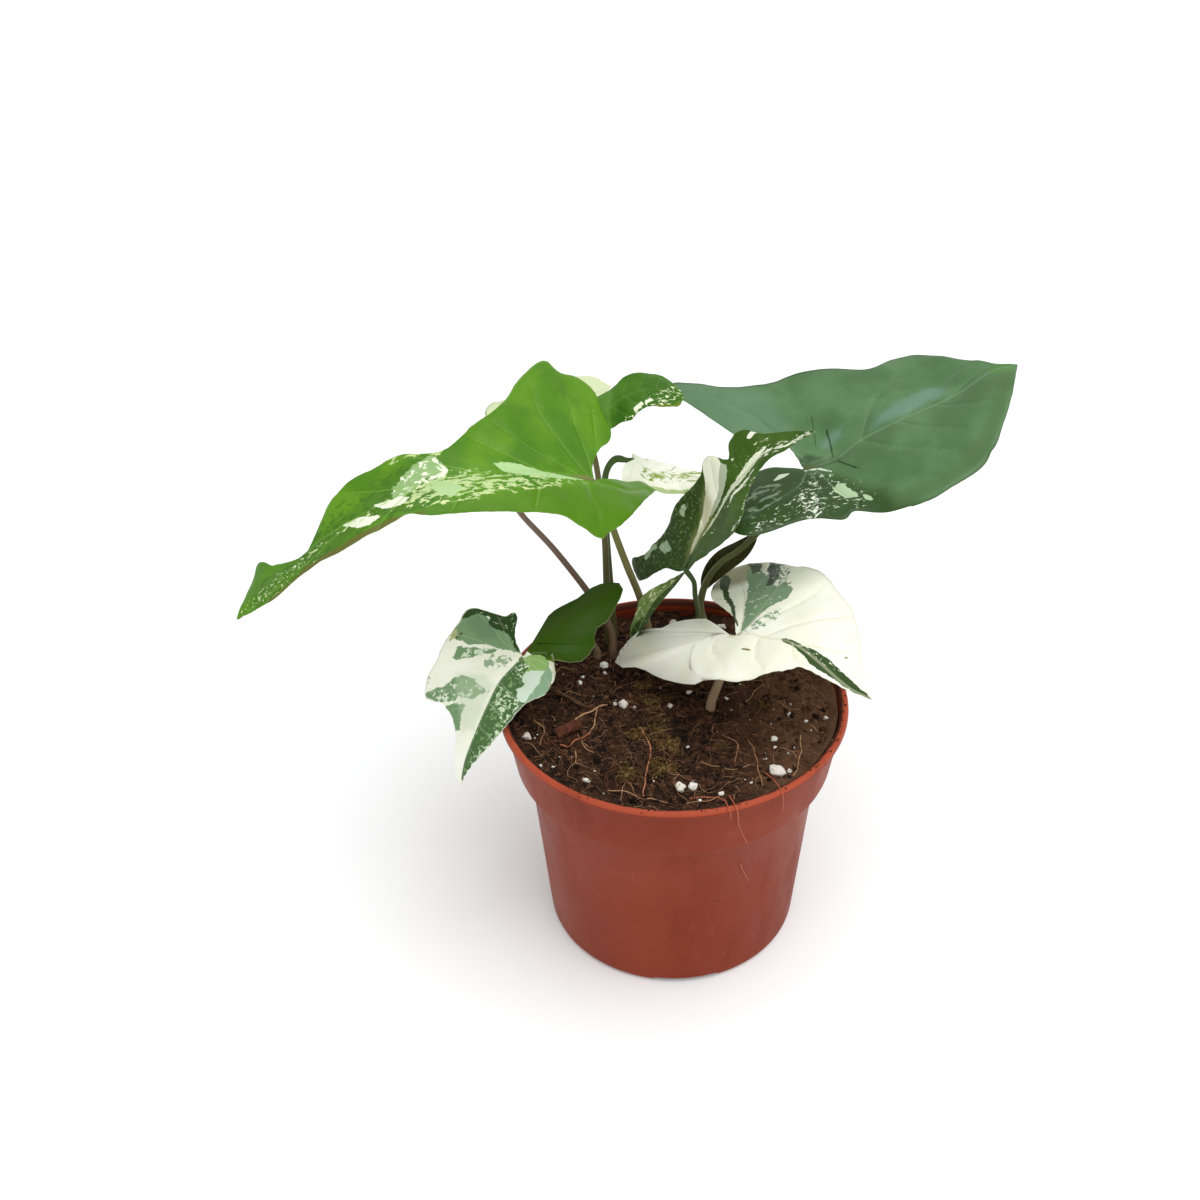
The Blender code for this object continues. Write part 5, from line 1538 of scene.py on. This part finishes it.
def moss_piece():
    rng = random.Random(47)
    parts = []
    for cx, cy, reach, count in MOSS:
        for _ in range(count):
            r, a = reach * math.sqrt(rng.random()), rng.uniform(0, 6.283)
            r *= 0.75 + 0.35 * math.sin(3 * a + cx)
            x, y = cx + r * math.cos(a), cy + r * math.sin(a)
            pts = fibre_path(rng, x, y, rng.uniform(0.9, 2.6), rng.uniform(0.3, 1.1), 5, 2.5)
            rad = np.linspace(rng.uniform(0.12, 0.24), 0.05, len(pts))
            v, f = tube_arrays(pts, rad, 4)
            parts.append((v, f, rng.random()))
    verts, faces, tone = gather(parts)
    s = Shade("moss_thread", 0.85, 0.15)
    col = s.mix(s.step(s.number("tone"), 0.1, 0.7), lin(66, 50, 26), lin(112, 88, 46))
    col = s.mix(s.step(s.number("tone"), 0.75, 0.95), col, lin(164, 132, 88))
    s.colour(col)
    s.bump(s.noise(s.place(), 1800.0, 2.0, 0.5), 0.3, 0.0002)
    make_object("moss_tufts", verts, faces, [s.mat], None, {"tone": tone})


# pale roots lying on the soil: way points (x, y), radius
ROOTS = [
    ([(-11, -12), (-9, -19), (-9, -25), (-11, -37), (-12, -47)], 0.30),
    ([(-35, -7), (-30, -3), (-25, 1), (-21, 4)], 0.36),
    ([(-26, 0), (-27, -8), (-29, -15)], 0.26),
    ([(-39, -20), (-36, -21), (-33, -19), (-29, -14)], 0.26),
    ([(-34, -24), (-34, -29), (-33, -31)], 0.22),
    ([(-33, -13), (-31, -21), (-27, -25)], 0.2),
    ([(-23, -44), (-13, -47), (-4, -50)], 0.2),
    ([(3, -49), (9, -48), (14, -52)], 0.24), ([(2, -51), (8, -50), (13, -49)], 0.16),
    ([(25, -18), (26, -31), (27, -46)], 0.2), ([(42, -18), (40, -32), (34, -44)], 0.24),
    ([(25, 2), (29, 8), (33, 12)], 0.2), ([(8, -30), (16, -34), (24, -33)], 0.2),
    ([(-48, -6), (-44, -12), (-46, -20)], 0.2), ([(14, -14), (20, -22), (19, -31)], 0.18)]
# thin roots hanging over the lip and down the outside: (x, y, z)
RIM_ROOTS = [
    [(28, -38, 91), (30, -44, 93.2), (31.4, -49.2, 94.35), (32.3, -51.3, 92.6),
     (32.7, -49.5, 88), (33.1, -48.1, 83.5)],
    [(15.2, -50, 92.4), (16.4, -56.4, 94.35), (17.2, -58.2, 92.8), (17.9, -56, 86),
     (19.4, -54.1, 79.8), (21.4, -52.3, 73.6)],
    [(20.2, -46.1, 58.4), (21.7, -45.1, 53.2), (23.8, -43.4, 47.6)],
    [(13.6, -52, 92.6), (14.2, -57.3, 94.35), (14.9, -58.9, 92.7), (15.3, -57.3, 89)]]


def roots_piece():
    rng = random.Random(59)
    parts = []
    for way, radius in ROOTS:
        pts = resample(catmull([(x, y, 0.0) for x, y in way], 12), 26)[0]
        pts[:, 0] += 0.5 * wobble(pts, 5.0, radius * 90)
        pts[:, 1] += 0.5 * wobble(pts, 5.0, radius * 70 + 3)
        z = soil_height(pts[:, 0], pts[:, 1])
        z = np.maximum(np.convolve(np.pad(z, 2, "edge"), np.ones(5) / 5, "valid"), z - 0.2)
        pts[:, 2] = z + radius + 0.15
        rad = radius * (1 + 0.18 * wobble(pts, 2.0, 9)) * np.linspace(1.0, 0.7, len(pts))
        v, f = tube_arrays(pts, rad, 7)
        parts.append((v, f, rng.uniform(0.55, 1.0)))
    for k, way in enumerate(RIM_ROOTS):
        pts = resample(catmull(way, 12), 34)[0]
        v, f = tube_arrays(pts, np.linspace(0.22, 0.12, len(pts)), 6)
        parts.append((v, f, 0.1 + 0.05 * k))
    verts, faces, tone = gather(parts)
    s = Shade("pale_root", 0.6, 0.25)
    t = s.number("tone")
    n = s.noise(s.place(), 500.0, 3.0, 0.6)
    col = s.mix(s.step(t, 0.4, 0.9), lin(186, 98, 70), lin(186, 144, 106))
    col = s.mix(s.step(n, 0.5, 0.75, 0.0, 0.5), col, lin(120, 78, 50))
    s.colour(col)
    s.bump(n, 0.4, 0.0003)
    make_object("surface_roots", verts, faces, [s.mat], None, {"tone": tone})


def chip_piece():
    """Flaky bark chip with long grooves and a torn edge."""
    x, y = -36.5, -14.5
    bm = bmesh.new()
    bmesh.ops.create_cube(bm, size=1.0)
    bmesh.ops.subdivide_edges(bm, edges=bm.edges[:], cuts=17, use_grid_fill=True)
    v = np.array([tuple(p.co) for p in bm.verts])
    faces = [[q.index for q in f.verts] for f in bm.faces]
    bm.free()
    round_off = 1 - 0.16 * (np.abs(v[:, 0]) * 2) ** 4
    v[:, 1] *= round_off * (1 - 0.2 * np.abs(v[:, 2] * 2) ** 4)
    v[:, 0] *= 1.0 - 0.25 * v[:, 1]
    v[:, 2] *= 1.0 + 0.3 * v[:, 0]
    v = v * [8.8, 4.3, 2.3]
    v[:, 0] += 0.45 * wobble(v * [0.2, 1, 1], 1.6, 61) * np.abs(v[:, 0]) / 4.4
    v[:, 1] += 0.35 * wobble(v * [1, 0.3, 1], 1.8, 62)
    v[:, 2] += 0.28 * wobble(v * [0.25, 1, 0.4], 0.7, 63) + 0.2 * wobble(v, 2.5, 64)
    a = math.radians(35)
    c, sn = math.cos(a), math.sin(a)
    w = np.column_stack([v[:, 0] * c - v[:, 1] * sn + x, v[:, 0] * sn + v[:, 1] * c + y,
                         v[:, 2] + float(soil_top(x, y)) + 2.0])
    s = Shade("reddish_bark", 0.85, 0.2)
    g = s.vector("grain")
    n = s.noise(s.scaled(g, (0.25, 1.6, 1.0)), 2.2, 5.0, 0.65)
    col = s.mix(s.step(n, 0.36, 0.64), lin(66, 34, 22), lin(112, 64, 43))
    col = s.mix(s.step(s.noise(g, 5.0, 3.0, 0.6), 0.55, 0.75, 0.0, 0.6), col, lin(58, 30, 22))
    s.colour(col)
    s.bump(n, 0.8, 0.0006)
    obj = make_object("bark_chip_flake", w, faces, [s.mat], None, {"grain": v})
    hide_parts("bark_chip")


def stick_piece():
    """Old dead stalk: wrinkled, narrowed at both ends."""
    (x0, y0), (x1, y1), r = (-45, 10.5), (-30.5, -1), 0.9
    path = []
    for k in range(7):
        f = k / 6
        px, py = x0 + (x1 - x0) * f, y0 + (y1 - y0) * f + 1.2 * math.sin(3 * f)
        path.append((px, py, max(float(soil_top(px, py)), float(soil_top(px, py + 2))) + r + 0.7))
    pts, length = resample(catmull(path, 12), 60)
    t = np.linspace(0, 1, 60)
    rad = (r + (0.7 * r - r) * t) * (1 + 0.1 * np.sin(t * 40) + 0.12 * np.sin(t * 17 + 1))
    rad *= 0.45 + 0.55 * smoothstep(np.minimum(t, 1 - t), 0.0, 0.05)
    sides = 16
    verts, faces = tube_arrays(pts, rad, sides)
    ang = np.tile(np.arange(sides) / sides * 6.283, 60)
    s_run = np.repeat(t * length, sides)
    key = np.column_stack([np.cos(ang) * 1.5, np.sin(ang) * 1.5, s_run * 0.25])
    centre = np.repeat(pts, sides, axis=0)
    verts = centre + (verts - centre) * (1 + 0.22 * wobble(key, 0.8, 66))[:, None]
    s = Shade("dead_stalk", 0.85, 0.2)
    n = s.noise(s.vector("grain"), 1.6, 4.0, 0.65)
    col = s.mix(s.step(n, 0.35, 0.65), lin(48, 32, 23), lin(112, 82, 58))
    s.colour(col)
    s.bump(n, 0.8, 0.0005)
    obj = make_object("old_stick_skin", verts, faces, [s.mat], None, {"grain": key})
    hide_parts("old_stick")


def sheath_piece(blades):
    """Open sheath wrapped round the lower stalk of the dark leaf, turned to lie behind it as seen from
    the camera; its dark olive is painted shade.
    """
    spec = STALKS["stalk_dark_right"]
    x, y = spec["foot"]
    path = [(x, y, SOIL_LEVEL + 2.0)] + spec["via"] + [tuple(blades[spec["leaf"]].rib[0])]
    pts = resample(catmull(path, 14), 120)[0]
    z = pts[:, 2]
    pts = pts[(z > 109) & (z < 135)]
    pts, length = resample(pts, 46)
    tan = unit(np.gradient(pts, axis=0))
    view = np.array([0.0, math.cos(math.radians(34.5)), -math.sin(math.radians(34.5))])
    side = unit(np.cross(view, tan))
    back = unit(np.cross(tan, side))
    back = back * np.sign((back @ view))[:, None]
    t = np.linspace(0, 1, 46)
    width = 0.9 + 3.2 * np.sin(math.pi * np.clip(t * 1.02, 0, 1)) ** 0.7
    across = np.linspace(-1, 1, 19)
    grid = []
    for k in range(46):
        u = across * width[k]
        deep = 1.75 - 0.9 * (np.abs(across) ** 1.6) + 0.2 * wobble(
            np.column_stack([u, np.full(19, t[k] * 20)]), 2.5, 71)
        grid.append(pts[k] + np.outer(u + 0.3, side[k]) + np.outer(deep, back[k]))
    front = np.array(grid)
    rear = front + back[:, None, :] * 0.35
    verts = np.vstack([front.reshape(-1, 3), rear.reshape(-1, 3)])
    n = 46 * 19
    faces = []
    for i in range(45):
        for j in range(18):
            a, b = i * 19 + j, (i + 1) * 19 + j
            faces.append([a, b, b + 1, a + 1])
            faces.append([a + n + 1, b + n + 1, b + n, a + n])
    ring = [(0, j) for j in range(19)] + [(i, 18) for i in range(1, 46)] + \
        [(45, j) for j in range(17, -1, -1)] + [(i, 0) for i in range(44, 0, -1)]
    ids = [i * 19 + j for i, j in ring]
    for a, b in zip(ids, ids[1:] + ids[:1]):
        faces.append([a, b, b + n, a + n])
    s = Shade("sheath_painted_shade", 0.5, 0.2)
    v = s.vector("grain")
    g = s.noise(s.scaled(v, (1.6, 0.15, 1.0)), 2.0, 3.0, 0.6)
    # painted shade: dark olive for the shaded gap behind the stalk
    col = s.mix(s.step(g, 0.35, 0.65), lin(58, 54, 28), lin(84, 84, 42))
    s.colour(col)
    s.bump(g, 0.3, 0.0004)
    grain = np.column_stack([np.tile(across, 46) * 3, np.repeat(t, 19) * 30, np.zeros(n)])
    obj = make_object("petiole_sheath_dark_right", verts, faces, [s.mat], None,
                      {"grain": np.vstack([grain, grain])})
    bm = bmesh.new()
    bm.from_mesh(obj.data)
    bmesh.ops.recalc_face_normals(bm, faces=bm.faces)
    bm.to_mesh(obj.data)
    bm.free()


# ------------------------------------------------------------------- camera
def camera():
    el, roll = math.radians(34.53), math.radians(-1.51)
    fwd = Vector((0, math.cos(el), -math.sin(el)))
    right = Vector((1, 0, 0))
    up = Vector((0, math.sin(el), math.cos(el)))
    cx = math.cos(roll) * right + math.sin(roll) * up
    cy = -math.sin(roll) * right + math.cos(roll) * up
    cz = -fwd
    loc = Vector((-0.02415, 0, 0.13471)) - 0.49394 * fwd
    data = bpy.data.cameras.new("camera")
    data.lens = 45.0
    data.sensor_width = 36.0
    data.clip_end = 50.0
    cam = bpy.data.objects.new("camera", data)
    cam.matrix_world = Matrix(((cx.x, cy.x, cz.x, loc.x), (cx.y, cy.y, cz.y, loc.y),
                               (cx.z, cy.z, cz.z, loc.z), (0, 0, 0, 1)))
    bpy.context.scene.collection.objects.link(cam)
    bpy.context.scene.camera = cam


def studio():
    """Plain pale floor and soft overhead light."""
    bm = bmesh.new()
    bmesh.ops.create_grid(bm, x_segments=1, y_segments=1, size=6.0)
    mesh = bpy.data.meshes.new("floor")
    bm.to_mesh(mesh)
    bm.free()
    floor = bpy.data.objects.new("floor", mesh)
    floor.location = (0, 0, -0.0002)
    bpy.context.scene.collection.objects.link(floor)
    mat = bpy.data.materials.new("floor_white")
    mat.use_nodes = True
    bsdf = mat.node_tree.nodes["Principled BSDF"]
    bsdf.inputs["Base Color"].default_value = (0.94, 0.955, 0.96, 1)
    bsdf.inputs["Emission Color"].default_value = (1, 1, 1, 1)
    bsdf.inputs["Emission Strength"].default_value = 0.09
    bsdf.inputs["Roughness"].default_value = 0.9
    bsdf.inputs["Specular IOR Level"].default_value = 0.1
    mesh.materials.append(mat)
    world = bpy.data.worlds.new("soft_room")
    world.use_nodes = True
    world.node_tree.nodes["Background"].inputs["Color"].default_value = (1, 1, 1, 1)
    world.node_tree.nodes["Background"].inputs["Strength"].default_value = 0.64
    bpy.context.scene.world = world
    sun = bpy.data.lights.new("overhead", "SUN")
    sun.energy = 1.75
    sun.angle = math.radians(60)
    lamp = bpy.data.objects.new("overhead", sun)
    lamp.rotation_euler = (math.radians(14), math.radians(17), 0)
    bpy.context.scene.collection.objects.link(lamp)
    view = bpy.context.scene.view_settings
    view.view_transform = "Standard"
    view.look = "None"
    view.exposure = 0.0
    view.gamma = 1.0


blades = {}
for leaf, look in LOOKS.items():
    piece, blades[leaf] = leaf_mesh(leaf, look)
for stalk in STALKS:
    stalk_piece(stalk, blades)
pot_piece()
soil_piece()
balls = {1: icosphere(1), 2: icosphere(2), 3: icosphere(3)}
crumbs_piece(balls)
fibres_piece()
perlite_piece(balls)
moss_piece()
roots_piece()
chip_piece()
stick_piece()
sheath_piece(blades)
camera()
studio()
